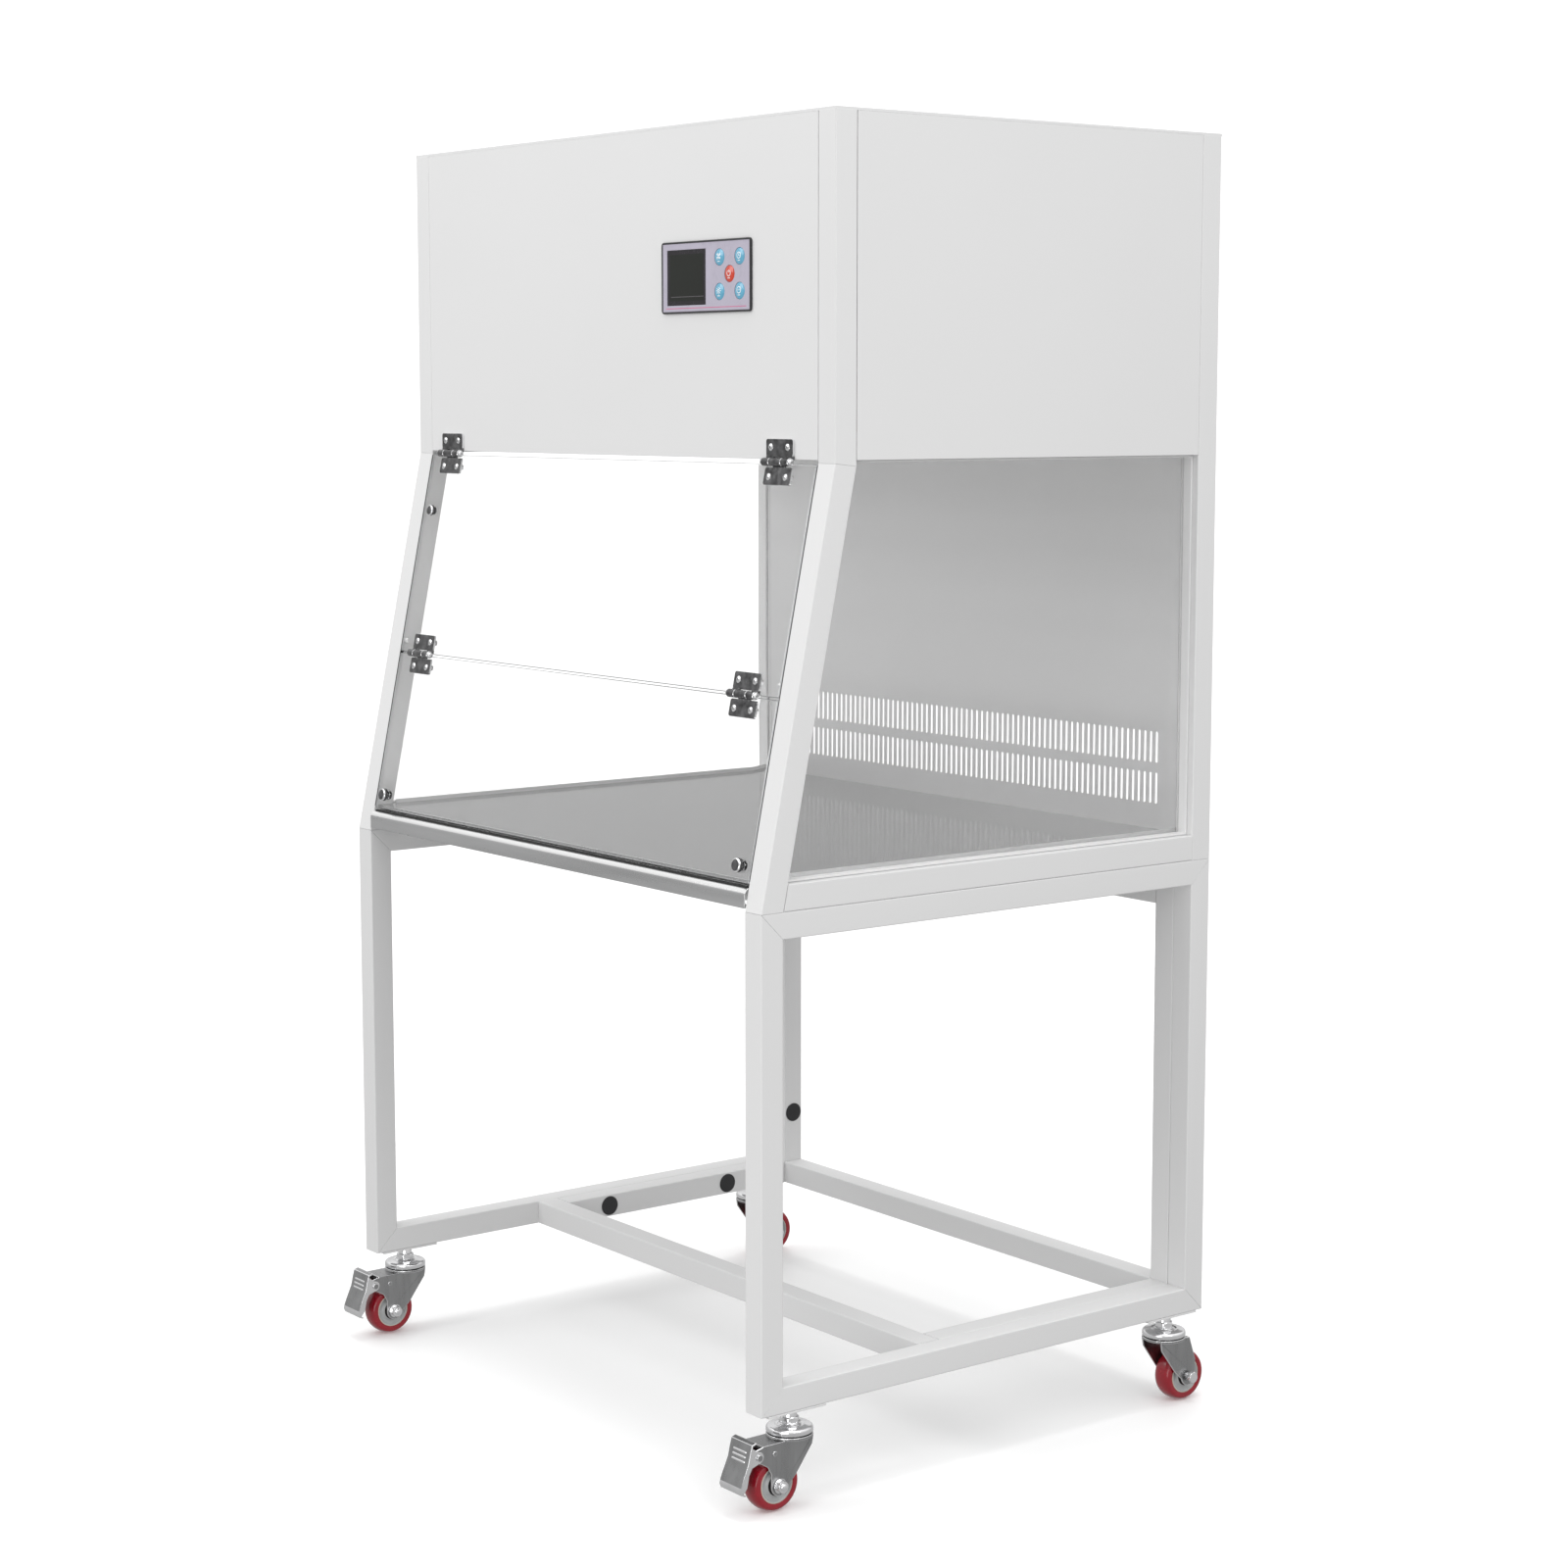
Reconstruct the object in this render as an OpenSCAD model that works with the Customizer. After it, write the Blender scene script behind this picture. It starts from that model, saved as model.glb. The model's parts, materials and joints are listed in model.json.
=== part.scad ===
// Laminar-flow fume hood on a wheeled stand, built as separate pieces.
// Millimetres, +Z up, +X right, the operator stands at -Y.
// Origin: on the floor, under the middle of the overall box.

/* [Body] */
// overall width over the tubes
body_w = 860; // [800:10:920]
// depth of the stand and of the hood's base
body_d = 678; // [640:2:740]
// square tube size
tube = 30; // [28:1:34]
// tube wall
wall = 1.5; // [1:0.1:2]
// stand frame height
stand_h = 559; // [480:1:680]
// hood height, base rail to top
hood_h = 857; // [830:1:900]
// height of the knee above the hood's base
knee_h = 480; // [460:1:500]
// how far the upper front stands back from the lower edge
setback = 100; // [80:1:110]
// painted sheet thickness
sheet = 1.5; // [1.2:0.1:2]
// top cover thickness
top_t = 3; // [2:0.5:4]

/* [Sash and side glass] */
// acrylic thickness
acrylic = 5; // [4:0.5:6]
// length of the upper sash panel, from the knee to the fold
fold_at = 258; // [250:1:262]
// side glass thickness
glass_t = 4; // [3:0.5:5]
// how far the side glass sits in from the outer face
glass_in = 22; // [18:1:24]
// distance of the sash hinges from the middle
hinge_x = 341; // [320:1:350]
// hinge leaf width
leaf_w = 48; // [40:1:52]
// hinge leaf reach from the pin
leaf_l = 25; // [22:1:27]
// distance of the knobs from the middle
knob_x = 378; // [365:1:380]

/* [Back wall] */
// slots in each row
slot_n = 74; // [60:1:74]
// slot pitch
slot_pitch = 10; // [9:0.5:10]
// slot width
slot_w = 4.4; // [3:0.1:5]
// slot length
slot_l = 38; // [30:1:40]

/* [Control panel] */
// bezel width
panel_w = 169; // [165:1:175]
// bezel height
panel_h = 80.5; // [77:0.5:86]
// bezel centre, right of the middle
panel_x = 198.5; // [190:0.5:205]
// button diameter
button_d = 18.5; // [14:0.5:19]
// button travel
button_travel = 0.8; // [0.5:0.1:1]

/* [Stand and casters] */
// stand bottom above the floor
caster_h = 111.5; // [108:0.5:116]
// wheel diameter
wheel_d = 63; // [60:0.5:63.5]
// caster trail, stem to axle
trail = 26.5; // [24:0.5:28]
// stem distance from the frame's front and back
stem_in = 50; // [48:1:60]
// front stretcher distance from the stand's front
stretch_y = 250; // [200:5:300]

/* [Hidden] */
$fn = 48;
eps = 0.25;                       // gap that keeps welded pieces apart
half_w = body_w / 2;
in_w = half_w - tube;             // inner face of the posts
a = atan(setback / knee_h);       // sash lean
pedal_front = 82.6;               // pedal reach ahead of the stem
front_reach = pedal_front - stem_in;
back_reach = wheel_d / 2 + trail - stem_in;
yf = -(body_d + front_reach + back_reach) / 2 + front_reach;
yb = yf + body_d;
yu = yf + setback;                // upper front face
zs = caster_h;
zh = zs + stand_h;
zk = zh + knee_h;
zt = zh + hood_h;
z_cap = zt - top_t;
floor_z = zh + tube + sheet;      // work surface
sash_end = (knee_h - 29.5) / cos(a);
pin_off = 6;                      // hinge pin in front of the sash face
top_gap = 3.5;                    // panel edge above the knee
box_z = zk + top_gap;             // underside of the filter box
panel_zc = zk + 205.5;
stem_front = yf + stem_in;
stem_back = yb - stem_in;
axle_z = wheel_d / 2;

// ---------- helpers ----------

// outline in Y,Z pulled along X
module xprism(x0, x1) {
    translate([x0, 0, 0]) rotate([90, 0, 90]) linear_extrude(x1 - x0) children();
}

// outline in X,Z pulled along Y
module yprism(y0, y1) {
    translate([0, y1, 0]) rotate([90, 0, 0]) linear_extrude(y1 - y0) children();
}

module box(x0, x1, y0, y1, z0, z1) {
    translate([x0, y0, z0]) cube([x1 - x0, y1 - y0, z1 - z0]);
}

// hollow square tubes between two corners, open at the ends
module tube_x(x0, x1, y0, y1, z0, z1) {
    difference() {
        box(x0, x1, y0, y1, z0, z1);
        box(x0 - 1, x1 + 1, y0 + wall, y1 - wall, z0 + wall, z1 - wall);
    }
}

module tube_y(x0, x1, y0, y1, z0, z1) {
    difference() {
        box(x0, x1, y0, y1, z0, z1);
        box(x0 + wall, x1 - wall, y0 - 1, y1 + 1, z0 + wall, z1 - wall);
    }
}

module tube_z(x0, x1, y0, y1, z0, z1) {
    difference() {
        box(x0, x1, y0, y1, z0, z1);
        box(x0 + wall, x1 - wall, y0 + wall, y1 - wall, z0 - 1, z1 + 1);
    }
}

module rod_x(x0, x1, r) {
    translate([x0, 0, 0]) rotate([0, 90, 0]) cylinder(h = x1 - x0, r = r);
}

module rod_y(y0, y1, r) {
    translate([0, y0, 0]) rotate([-90, 0, 0]) cylinder(h = y1 - y0, r = r);
}

module rounded(w, h, r) {
    square([w - 2 * r, h], center = true);
    square([w, h - 2 * r], center = true);
    for (i = [-1, 1], j = [-1, 1])
        translate([i * (w / 2 - r), j * (h / 2 - r)]) circle(r);
}

// the sash's plane: local -z runs down the slope, local -y is outward
module slant() {
    translate([0, yu, zk]) rotate([-a, 0, 0]) children();
}

module mirror_x(right) {
    if (right) children();
    else mirror([1, 0, 0]) children();
}

// ---------- hood frame ----------

// point on the front line of the post, pushed back by d
function low_pt(z, d) = [yf + (z - zh) * tan(a) + d / cos(a), z];
function knee_pt(d, up) = [yu + d, zk - d * tan(a / 2) + up];

module post_front() {
    difference() {
        xprism(in_w, half_w)
            polygon([low_pt(zh, 0), low_pt(zh, tube), knee_pt(tube, 0), knee_pt(0, 0)]);
        xprism(in_w + wall, half_w - wall)
            polygon([low_pt(zh - 1, wall), low_pt(zh - 1, tube - wall),
                knee_pt(tube - wall, 1), knee_pt(wall, 1)]);
    }
    difference() {
        xprism(in_w, half_w)
            polygon([knee_pt(0, eps), knee_pt(tube, eps), [yu + tube, z_cap], [yu, z_cap]]);
        xprism(in_w + wall, half_w - wall)
            polygon([knee_pt(wall, -1), knee_pt(tube - wall, -1),
                [yu + tube - wall, z_cap + 1], [yu + wall, z_cap + 1]]);
    }
    // stop pin behind the sash
    slant() translate([0, acrylic + stop_r + 0.3, -stop_s])
        rod_x(in_w - stop_l, in_w - eps, stop_r);
}
stop_r = 3;
stop_l = 9;
stop_s = fold_at - 16;

module post_front_l() color("white") mirror_x(false) post_front();
module post_front_r() color("white") mirror_x(true) post_front();

module posts_back() color("white")
    for (side = [false, true]) mirror_x(side)
        tube_z(in_w, half_w, yb - tube, yb, zh, z_cap);

// side base rail, cut to the lean of the post
module base_rail() {
    difference() {
        xprism(in_w, half_w)
            polygon([low_pt(zh, tube + eps), [yb - tube - eps, zh],
                [yb - tube - eps, zh + tube], low_pt(zh + tube, tube + eps)]);
        box(in_w + wall, half_w - wall, yf, yb, zh + wall, zh + tube - wall);
    }
}

brace_in = 45;                     // front cross tube behind the lip
fit = 0.4;                         // side gap of a panel in its frame
panel_x1 = in_w - fit;
module hood_rails() color("white") {
    rail_x = in_w - eps;
    post_y0 = yu + tube + eps;
    post_y1 = yb - tube - eps;
    behind = sheet + eps;
    for (side = [false, true]) mirror_x(side) {
        base_rail();
        tube_y(in_w, half_w - behind, post_y0, post_y1, box_z, box_z + tube);
        tube_y(in_w, half_w - behind, post_y0, post_y1, z_cap - tube, z_cap);
    }
    tube_x(-rail_x, rail_x, yb - tube, yb, zh, zh + tube);
    difference() {
        tube_x(-rail_x, rail_x, yu + behind, yu + tube, box_z, box_z + tube);
        at_frame_screws() rod_y(-1, 8, screw_hole);
    }
    tube_x(-rail_x, rail_x, yb - tube, yb - behind, box_z, box_z + tube);
    tube_x(-rail_x, rail_x, yu + behind, yu + tube, z_cap - tube, z_cap);
    tube_x(-rail_x, rail_x, yb - tube, yb - behind, z_cap - tube, z_cap);
    // two braces under the work tray
    tube_x(-rail_x, rail_x, yf + brace_in, yf + brace_in + tube, zh, zh + tube);
    mid_y = (yf + yb) / 2;
    tube_x(-rail_x, rail_x, mid_y, mid_y + tube, zh, zh + tube);
}

// ---------- hood panels ----------

cut_in = 12;                       // bezel overlap on the front panel
module panel_front() color("white") difference() {
    box(-panel_x1, panel_x1, yu, yu + sheet, box_z, z_cap);
    translate([panel_x, 0, panel_zc])
        yprism(yu - 1, yu + sheet + 1) square([panel_w - cut_in, panel_h - cut_in], center = true);
    at_frame_screws() rod_y(-1, 8, screw_hole);
}

module panel_side() {
    box(half_w - sheet, half_w, yu + tube + fit, yb - tube - fit, box_z, z_cap);
}
module panel_side_l() color("white") mirror_x(false) panel_side();
module panel_side_r() color("white") mirror_x(true) panel_side();

inlet_x = 300;
inlet_z = 70;                      // opening's lower edge above the filter box's underside
inlet_w = 48;
inlet_h = 27;
module panel_back() color("white") difference() {
    box(-panel_x1, panel_x1, yb - sheet, yb, box_z, z_cap);
    box(inlet_x - inlet_w / 2, inlet_x + inlet_w / 2, yb - 5, yb + 5,
        box_z + inlet_z, box_z + inlet_z + inlet_h);
}

grille_n = 16;
grille_w = 10;
grille_l = 300;
grille_pitch = 18;
module panel_top() color("white") difference() {
    box(-half_w, half_w, yu, yb, z_cap, zt);
    for (i = [0:grille_n - 1])
        translate([(i - (grille_n - 1) / 2) * grille_pitch, (yu + yb) / 2, z_cap - 1])
            translate([-grille_w / 2, -grille_l / 2, 0]) cube([grille_w, grille_l, top_t + 2]);
}

// ---------- work chamber ----------

slot_rows = [51, 101];             // slot row centres above the base rail
back_t = 1.2;
module slot2d() {
    square([slot_w, slot_l - slot_w], center = true);
    for (j = [-1, 1]) translate([0, j * (slot_l - slot_w) / 2]) circle(slot_w / 2);
}
module back_wall() color("silver") {
    yw = yb - tube;
    yprism(yw, yw + back_t) difference() {
        translate([-panel_x1, zh + tube + eps]) square([2 * panel_x1, knee_h - tube + top_gap - 2 * eps]);
        for (i = [0:slot_n - 1], z = slot_rows)
            translate([(i - (slot_n - 1) / 2) * slot_pitch, zh + tube + z]) slot2d();
    }
}

nose_r = 8;                        // rounded front lip
nose_z = 14;                       // height of the lip's straight face
lip_gap = 3;                       // lip's lower edge above the hood's base
tray_t = 1.5;
step_y = 15;                       // front edge to the step
lip_n = 10;                        // facets round the lip
upstand = 5;                       // rim along each side of the tray
upstand_in = 40;                   // rim's distance from the front edge
function arc_pts(c, r, a0, a1, n) =
    [for (i = [0:n]) c + r * [cos(a0 + (a1 - a0) * i / n), sin(a0 + (a1 - a0) * i / n)]];
module tray_section() {
    z1 = zh + lip_gap;
    z2 = z1 + nose_z;
    c = [yf + nose_r, z2];
    outer = concat([[yf, z1]], arc_pts(c, nose_r, 180, 90, lip_n),
        [[yf + step_y, z2 + nose_r], [yf + step_y, floor_z], [yb - tube - eps, floor_z]]);
    inner = concat([[yb - tube - eps, floor_z - tray_t],
        [yf + step_y + tray_t, floor_z - tray_t], [yf + step_y + tray_t, z2 + nose_r - tray_t]],
        arc_pts(c, nose_r - tray_t, 90, 180, lip_n),
        [[yf + tray_t, z1 + tray_t], [yf + step_y, z1 + tray_t], [yf + step_y, z1]]);
    polygon(concat(outer, inner));
}
module work_tray() color("silver") {
    tray_x = in_w - 0.5;
    xprism(-tray_x, tray_x) tray_section();
    for (side = [false, true]) mirror_x(side)
        box(tray_x - back_t, tray_x, yf + upstand_in, yb - tube - eps,
            floor_z - tray_t / 2, floor_z + upstand);
}

// side window outline, pulled in by d
function window(d) = [low_pt(zh + tube + d, tube + d), [yb - tube - d, zh + tube + d],
    [yb - tube - d, box_z - d], [yu + tube + d, box_z - d], knee_pt(tube + d, 0)];
module glass() {
    xprism(half_w - glass_in - glass_t, half_w - glass_in) polygon(window(0.5));
}
module glass_l() color("lightblue", 0.4) mirror_x(false) glass();
module glass_r() color("lightblue", 0.4) mirror_x(true) glass();

strip_d = 13;
strip_t = 2.4;
module glass_strips() color("white")
    for (side = [false, true]) mirror_x(side)
        xprism(half_w - glass_in + 0.1, half_w - glass_in + strip_d) difference() {
            polygon(window(0.3));
            polygon(window(strip_t + 0.3));
        }

seal_t = 1.1;
bar_h = 3.1;                       // seal bar on the lip, just short of the sash
module seals() color("black") {
    // strips on the leaning posts, beside the sash
    for (side = [false, true]) mirror_x(side)
        slant() box(in_w - seal_t, in_w, 0.4, acrylic + 0.1, -sash_end + 2, -2);
    // bar on the tray's lip, under the sash
    z0 = zh + lip_gap + nose_z + nose_r;
    y0 = low_pt(z0 + bar_h, 0)[0];
    box(-in_w + seal_t + 1, in_w - seal_t - 1, y0 + 0.3, y0 + acrylic, z0, z0 + bar_h);
}

// ---------- filter box ----------

lamp_pocket = 60;                  // room for the lamps ahead of the filter
filter_y0 = yu + tube + lamp_pocket;
filter_y1 = yb - tube - 12;
filter_x = in_w - 20;
filter_z = box_z + 14;
filter_h = 69;
rim = 18;
vent_n = 36;                       // columns of diffuser vents
vent_w = 10;
vent_pitch = 20;
vent_rows = 3;
vent_gap = 12;                     // web between the rows of vents
vent_l = (filter_y1 - filter_y0 - 46) / vent_rows - vent_gap;
module diffuser() color("silver") difference() {
    box(-filter_x, filter_x, filter_y0, filter_y1, box_z + 6, box_z + 6 + back_t);
    for (i = [0:vent_n - 1], j = [0:vent_rows - 1])
        translate([(i - (vent_n - 1) / 2) * vent_pitch - vent_w / 2,
            filter_y0 + 29 + j * (vent_l + vent_gap), box_z])
            cube([vent_w, vent_l, 20]);
}

module hepa_frame() color("gainsboro") difference() {
    box(-filter_x, filter_x, filter_y0, filter_y1, filter_z, filter_z + filter_h);
    box(-filter_x + rim, filter_x - rim, filter_y0 + rim, filter_y1 - rim,
        filter_z - 1, filter_z + filter_h + 1);
}

pleat_n = 44;
pleat_t = 2;
function pleat_z(i) = i % 2 == 0 ? filter_z + 6 : filter_z + filter_h - 8;
module hepa_media() color("ivory") {
    x0 = -filter_x + rim + 1;
    w = 2 * (filter_x - rim - 1);
    step = w / pleat_n;
    yprism(filter_y0 + rim + 1, filter_y1 - rim - 1)
        polygon(concat([for (i = [0:pleat_n]) [x0 + i * step, pleat_z(i)]],
            [for (i = [pleat_n:-1:0]) [x0 + i * step, pleat_z(i) + pleat_t]]));
}

fan_y = (filter_y0 + filter_y1) / 2;
deck_z = filter_z + filter_h + 1;
plate = 2;                         // sheet of the deck, fan case and duct
fan_z = deck_z + 40;
fan_r = 125;
fan_h = 96;
duct_w = 110;
duct_x = 330;                      // duct's far end
foot_x = 60;
foot_r = 8;
eye_r = 72;                        // air inlet on top of the fan case
motor_r = 42;
motor_h = 44;
boss_r = 16;
shaft_r = 5;
blower_r = 96;
blower_h = 74;

// straight duct from the fan case to its far end, shrunk by d
module duct(d) {
    y0 = fan_y - fan_r;
    box(0, duct_x - d, y0 + d, y0 + duct_w - d, fan_z + d, fan_z + fan_h - d);
    box(duct_x - duct_w + d, duct_x - d, y0 + d, y0 + duct_w - d, deck_z - d, fan_z + 2 * plate + d);
}

// deck over the filter, with the round fan case and its outlet duct
module blower_housing() color("gray") difference() {
    union() {
        box(-filter_x, filter_x, filter_y0, filter_y1, deck_z, deck_z + plate);
        translate([0, fan_y, fan_z]) cylinder(h = fan_h, r = fan_r);
        duct(0);
        for (s = [-1, 1])
            translate([s * foot_x, fan_y + foot_x, deck_z])
                cylinder(h = fan_z - deck_z + plate, r = foot_r);
    }
    translate([0, fan_y, fan_z + plate]) cylinder(h = fan_h - 2 * plate, r = fan_r - plate);
    duct(plate);
    translate([0, fan_y, fan_z + fan_h - plate - 1]) cylinder(h = 6, r = eye_r);
    translate([0, fan_y, fan_z - 1]) cylinder(h = plate + 2, r = motor_r + 1);
}

module blower_motor() color("dimgray") translate([0, fan_y, deck_z + plate + 0.3]) difference() {
    union() {
        cylinder(h = motor_h, r = motor_r);
        cylinder(h = motor_h + 8, r = boss_r);
    }
    translate([0, 0, 18]) cylinder(h = motor_h, r = shaft_r + 0.06);
}

blade_n = 24;
blade_l = 18;
blade_t = 1.2;
module impeller() color("silver") translate([0, fan_y, fan_z + 10]) {
    // shaft into the motor, back plate, blades and front ring
    translate([0, 0, -26]) cylinder(h = 60, r = shaft_r);
    translate([0, 0, 6]) cylinder(h = 22, r = 18);
    translate([0, 0, 6]) cylinder(h = plate, r = blower_r);
    translate([0, 0, blower_h - plate]) difference() {
        cylinder(h = plate, r = blower_r);
        translate([0, 0, -1]) cylinder(h = plate + 2, r = blower_r - blade_l - 4);
    }
    for (i = [0:blade_n - 1]) rotate(i * 360 / blade_n)
        translate([blower_r - 11, 0, 7]) rotate(25)
            translate([-blade_l / 2, -blade_t / 2, 0]) cube([blade_l, blade_t, blower_h - 8]);
}

pad_w = 304;
pad_d = 312;
pad_h = 11;
pocket = 16;
pocket_pitch = 23;
module prefilter() color("whitesmoke")
    translate([0, (yu + yb) / 2, z_cap - pad_h - 1]) difference() {
        translate([-pad_w / 2, -pad_d / 2, 0]) cube([pad_w, pad_d, pad_h]);
        for (i = [-6:6], j = [-6:6])
            translate([i * pocket_pitch - pocket / 2, j * pocket_pitch - pocket / 2, -1])
                cube([pocket, pocket, pad_h - 2]);
    }

lamp_y = yu + tube + 28;
lamp_l = 300;                      // half length, to the end caps' middles
lamp_r = 6.5;
lamp_pitch = 20;
cap_w = 16;
module lamps() color("white") {
    // lighting tube and sterilising tube, each with its two end caps
    for (k = [-1, 1]) translate([0, lamp_y + k * lamp_pitch / 2, box_z + 16]) {
        rod_x(-lamp_l + cap_w / 2 + 0.3, lamp_l - cap_w / 2 - 0.3, lamp_r);
        for (s = [-1, 1]) translate([s * lamp_l - cap_w / 2, -cap_w / 2, -9])
            cube([cap_w, cap_w, 30]);
    }
}

// ---------- controls ----------

module control_board() color("green") {
    // circuit board, supply block and relay behind the bezel
    translate([panel_x, 0, panel_zc]) {
        box(-76, 76, board_y, board_y + 1.6, -34, 34);
        for (part = [[-70, -30, 25, -28, 10], [20, 48, 16, -26, -10], [-20, 8, 10, -2, 22]])
            box(part[0], part[1], board_y + 1.9, board_y + 1.9 + part[2], part[3], part[4]);
    }
}
board_y = yu + 14;

socket_w = 26;
socket_h = 16;
socket_d = 16;
flange = 5;                        // inlet's rim round its cut-out
module power_inlet() color("black") translate([inlet_x, 0, box_z + inlet_z + inlet_h / 2]) {
    x = inlet_w / 2;
    z = inlet_h / 2;
    difference() {
        union() {
            box(-x + fit, x - fit, yb - 26, yb + 1, -z + fit, z - fit);
            box(-x - flange, x + flange, yb + 0.2, yb + 2.5, -z - flange, z + flange);
        }
        box(-socket_w / 2, socket_w / 2, yb - socket_d, yb + 5, -socket_h / 2, socket_h / 2);
    }
    for (pin = [[-7, -2], [7, -2], [0, 3]])
        translate([pin[0], 0, pin[1]]) box(-1, 1, yb - socket_d + 0.3, yb - 1, -2, 2);
}

rim_w = 2;
bezel_t = 3;
bezel_r = 4;
overlay_t = 2;
cap_h = 3.6;                       // buttons stand proud of the panel by this
lcd_w = 74;
lcd_h = 62;
lcd_x = -37;
button_r = button_d / 2;
col_1 = 26.3;                      // button columns, from the panel's centre
col_2 = 63.8;
col_m = 45.1;
row_u = 20.7;                      // button rows, from the panel's centre
row_m = 1.9;
row_l = -17.3;

module control_bezel() color("black") translate([panel_x, 0, panel_zc])
    yprism(yu - bezel_t, yu) difference() {
        rounded(panel_w, panel_h, bezel_r);
        square([panel_w - 2 * rim_w, panel_h - 2 * rim_w], center = true);
    }

module at_buttons() {
    translate([col_1, row_u]) children();
    translate([col_2, row_u]) children();
    translate([col_m, row_m]) children();
    translate([col_1, row_l]) children();
    translate([col_2, row_l]) children();
}

module control_overlay() color("thistle") translate([panel_x, 0, panel_zc])
    yprism(yu - 0.2 - overlay_t, yu - 0.2) difference() {
        square([panel_w - 2 * rim_w - 0.4, panel_h - 2 * rim_w - 0.4], center = true);
        translate([lcd_x, 0]) square([lcd_w + 0.4, lcd_h + 0.4], center = true);
        at_buttons() circle(button_r + 0.3);
    }

module lcd() color("black") translate([panel_x + lcd_x, 0, panel_zc])
    yprism(yu - 2, yu + 6) square([lcd_w, lcd_h], center = true);

module button(cx, cz) translate([panel_x + cx, 0, panel_zc + cz]) {
    rod_y(yu - cap_h + 1, yu + 4, button_r);
    translate([0, yu - cap_h + 1, 0]) rotate([90, 0, 0])
        cylinder(h = 1, r1 = button_r, r2 = button_r - 2.4);
    rod_y(yu + 3.9, yu + 10, 2.5);
}
module button_fan() color("deepskyblue") button(col_1, row_u);
module button_timer() color("deepskyblue") button(col_2, row_u);
module button_power() color("crimson") button(col_m, row_m);
module button_lamp() color("deepskyblue") button(col_1, row_l);
module button_socket() color("deepskyblue") button(col_2, row_l);

// ---------- folding sash ----------

sash_x = in_w - seal_t - 0.7;
module at_hinges() for (s = [-1, 1]) translate([s * hinge_x, 0, 0]) children();
hinge_shift = -6;                  // the top pair sits this far off the middle
module at_top_hinges() translate([hinge_shift, 0, 0]) at_hinges() children();
module at_knobs() for (s = [-1, 1]) translate([s * knob_x, 0, -knob_s]) children();
knob_s = sash_end - 18;
catch_s = 2 * fold_at - knob_s;
hole_r = 2.6;
leaf_t = 2.6;
knuckle_r = 4.6;
pin_r = 2;
screw_off = 16;                    // screw line below or above the pin
screw_x = 15;

module sash_upper() color("lightblue", 0.35) slant() difference() {
    box(-sash_x, sash_x, 0, acrylic, -fold_at + 1.2, -1.5);
    at_top_hinges() for (s = [-1, 1])
        translate([s * screw_x, 0, -top_s - screw_off]) rod_y(-1, acrylic + 1, hole_r);
    at_hinges() for (s = [-1, 1])
        translate([s * screw_x, 0, -fold_at + screw_off]) rod_y(-1, acrylic + 1, hole_r);
    translate([-knob_x, 0, -catch_s]) rod_y(-1, acrylic + 1, hole_r);
}

module sash_lower() color("lightblue", 0.35) slant() difference() {
    box(-sash_x, sash_x, 0, acrylic, -sash_end, -fold_at - 1.2);
    at_hinges() for (s = [-1, 1])
        translate([s * screw_x, 0, -fold_at - screw_off]) rod_y(-1, acrylic + 1, hole_r);
    at_knobs() rod_y(-1, acrylic + 1, hole_r);
}

// leaf with its knuckles and screws. Local origin on the pin, leaf hangs along -z,
// its back face at y = pin_off. ends: true for the two outer knuckles and the pin.
k_out = 13;                        // width of an outer knuckle
head_r = 4;
head_t = 1.7;
nut_r = 3.6;
pin_head = 3.2;
module leaf(ends, screw_len) {
    difference() {
        union() {
            box(-leaf_w / 2, leaf_w / 2, pin_off - leaf_t, pin_off, -leaf_l, -knuckle_r - 0.8);
            if (ends) for (s = [-1, 1])
                translate([s * (leaf_w - k_out) / 2, 0, 0]) knuckle(k_out);
            else knuckle(leaf_w - 2 * k_out - 0.8);
        }
        if (!ends) rod_x(-leaf_w, leaf_w, pin_r + 0.06);
        for (s = [-1, 1]) translate([s * screw_x, 0, -screw_off]) rod_y(-1, 20, screw_hole);
    }
    if (ends) {
        rod_x(-leaf_w / 2 - 2.5, leaf_w / 2 + 2.5, pin_r);
        for (s = [-1, 1]) translate([s * (leaf_w / 2 + 1.9), 0, 0])
            rod_x(-pin_head / 2, pin_head / 2, knuckle_r - 1);
    }
    // pan-head screws, and a nut behind where they go through the acrylic
    for (s = [-1, 1]) translate([s * screw_x, 0, -screw_off]) {
        rod_y(pin_off - leaf_t - head_t, pin_off - leaf_t - 0.2, head_r);
        rod_y(pin_off - leaf_t - 1, pin_off + screw_len, 2);
        if (screw_len > acrylic) rod_y(pin_off + acrylic + 0.3, pin_off + acrylic + 2.8, nut_r);
    }
}
module knuckle(w) {
    rod_x(-w / 2, w / 2, knuckle_r);
    box(-w / 2, w / 2, pin_off - leaf_t, pin_off - 0.2, -knuckle_r - 1.6, -2);
}

screw_hole = 2.3;
module at_frame_screws()
    for (h = [-1, 1], s = [-1, 1])
        translate([h * hinge_x + hinge_shift + s * screw_x, yu, top_pin[1] + screw_off]) children();

// top hinge pin: equally far in front of the upright face and of the sash
top_s = pin_off * tan(a / 2);
top_pin = [yu - pin_off, zk + top_s];
module at_top_pin() translate([0, top_pin[0], top_pin[1]]) children();
module at_fold_pin() slant() translate([0, -pin_off, -fold_at]) children();

module hinge_frame() color("silver") at_top_pin() at_top_hinges() mirror([0, 0, 1]) leaf(true, sheet + 3);
module hinge_upper() color("silver") {
    at_top_pin() rotate([-a, 0, 0]) at_top_hinges() leaf(false, acrylic + 3.5);
    at_fold_pin() at_hinges() mirror([0, 0, 1]) leaf(true, acrylic + 3.5);
}
module hinge_lower() color("silver") at_fold_pin() at_hinges() leaf(false, acrylic + 3.5);

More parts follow.
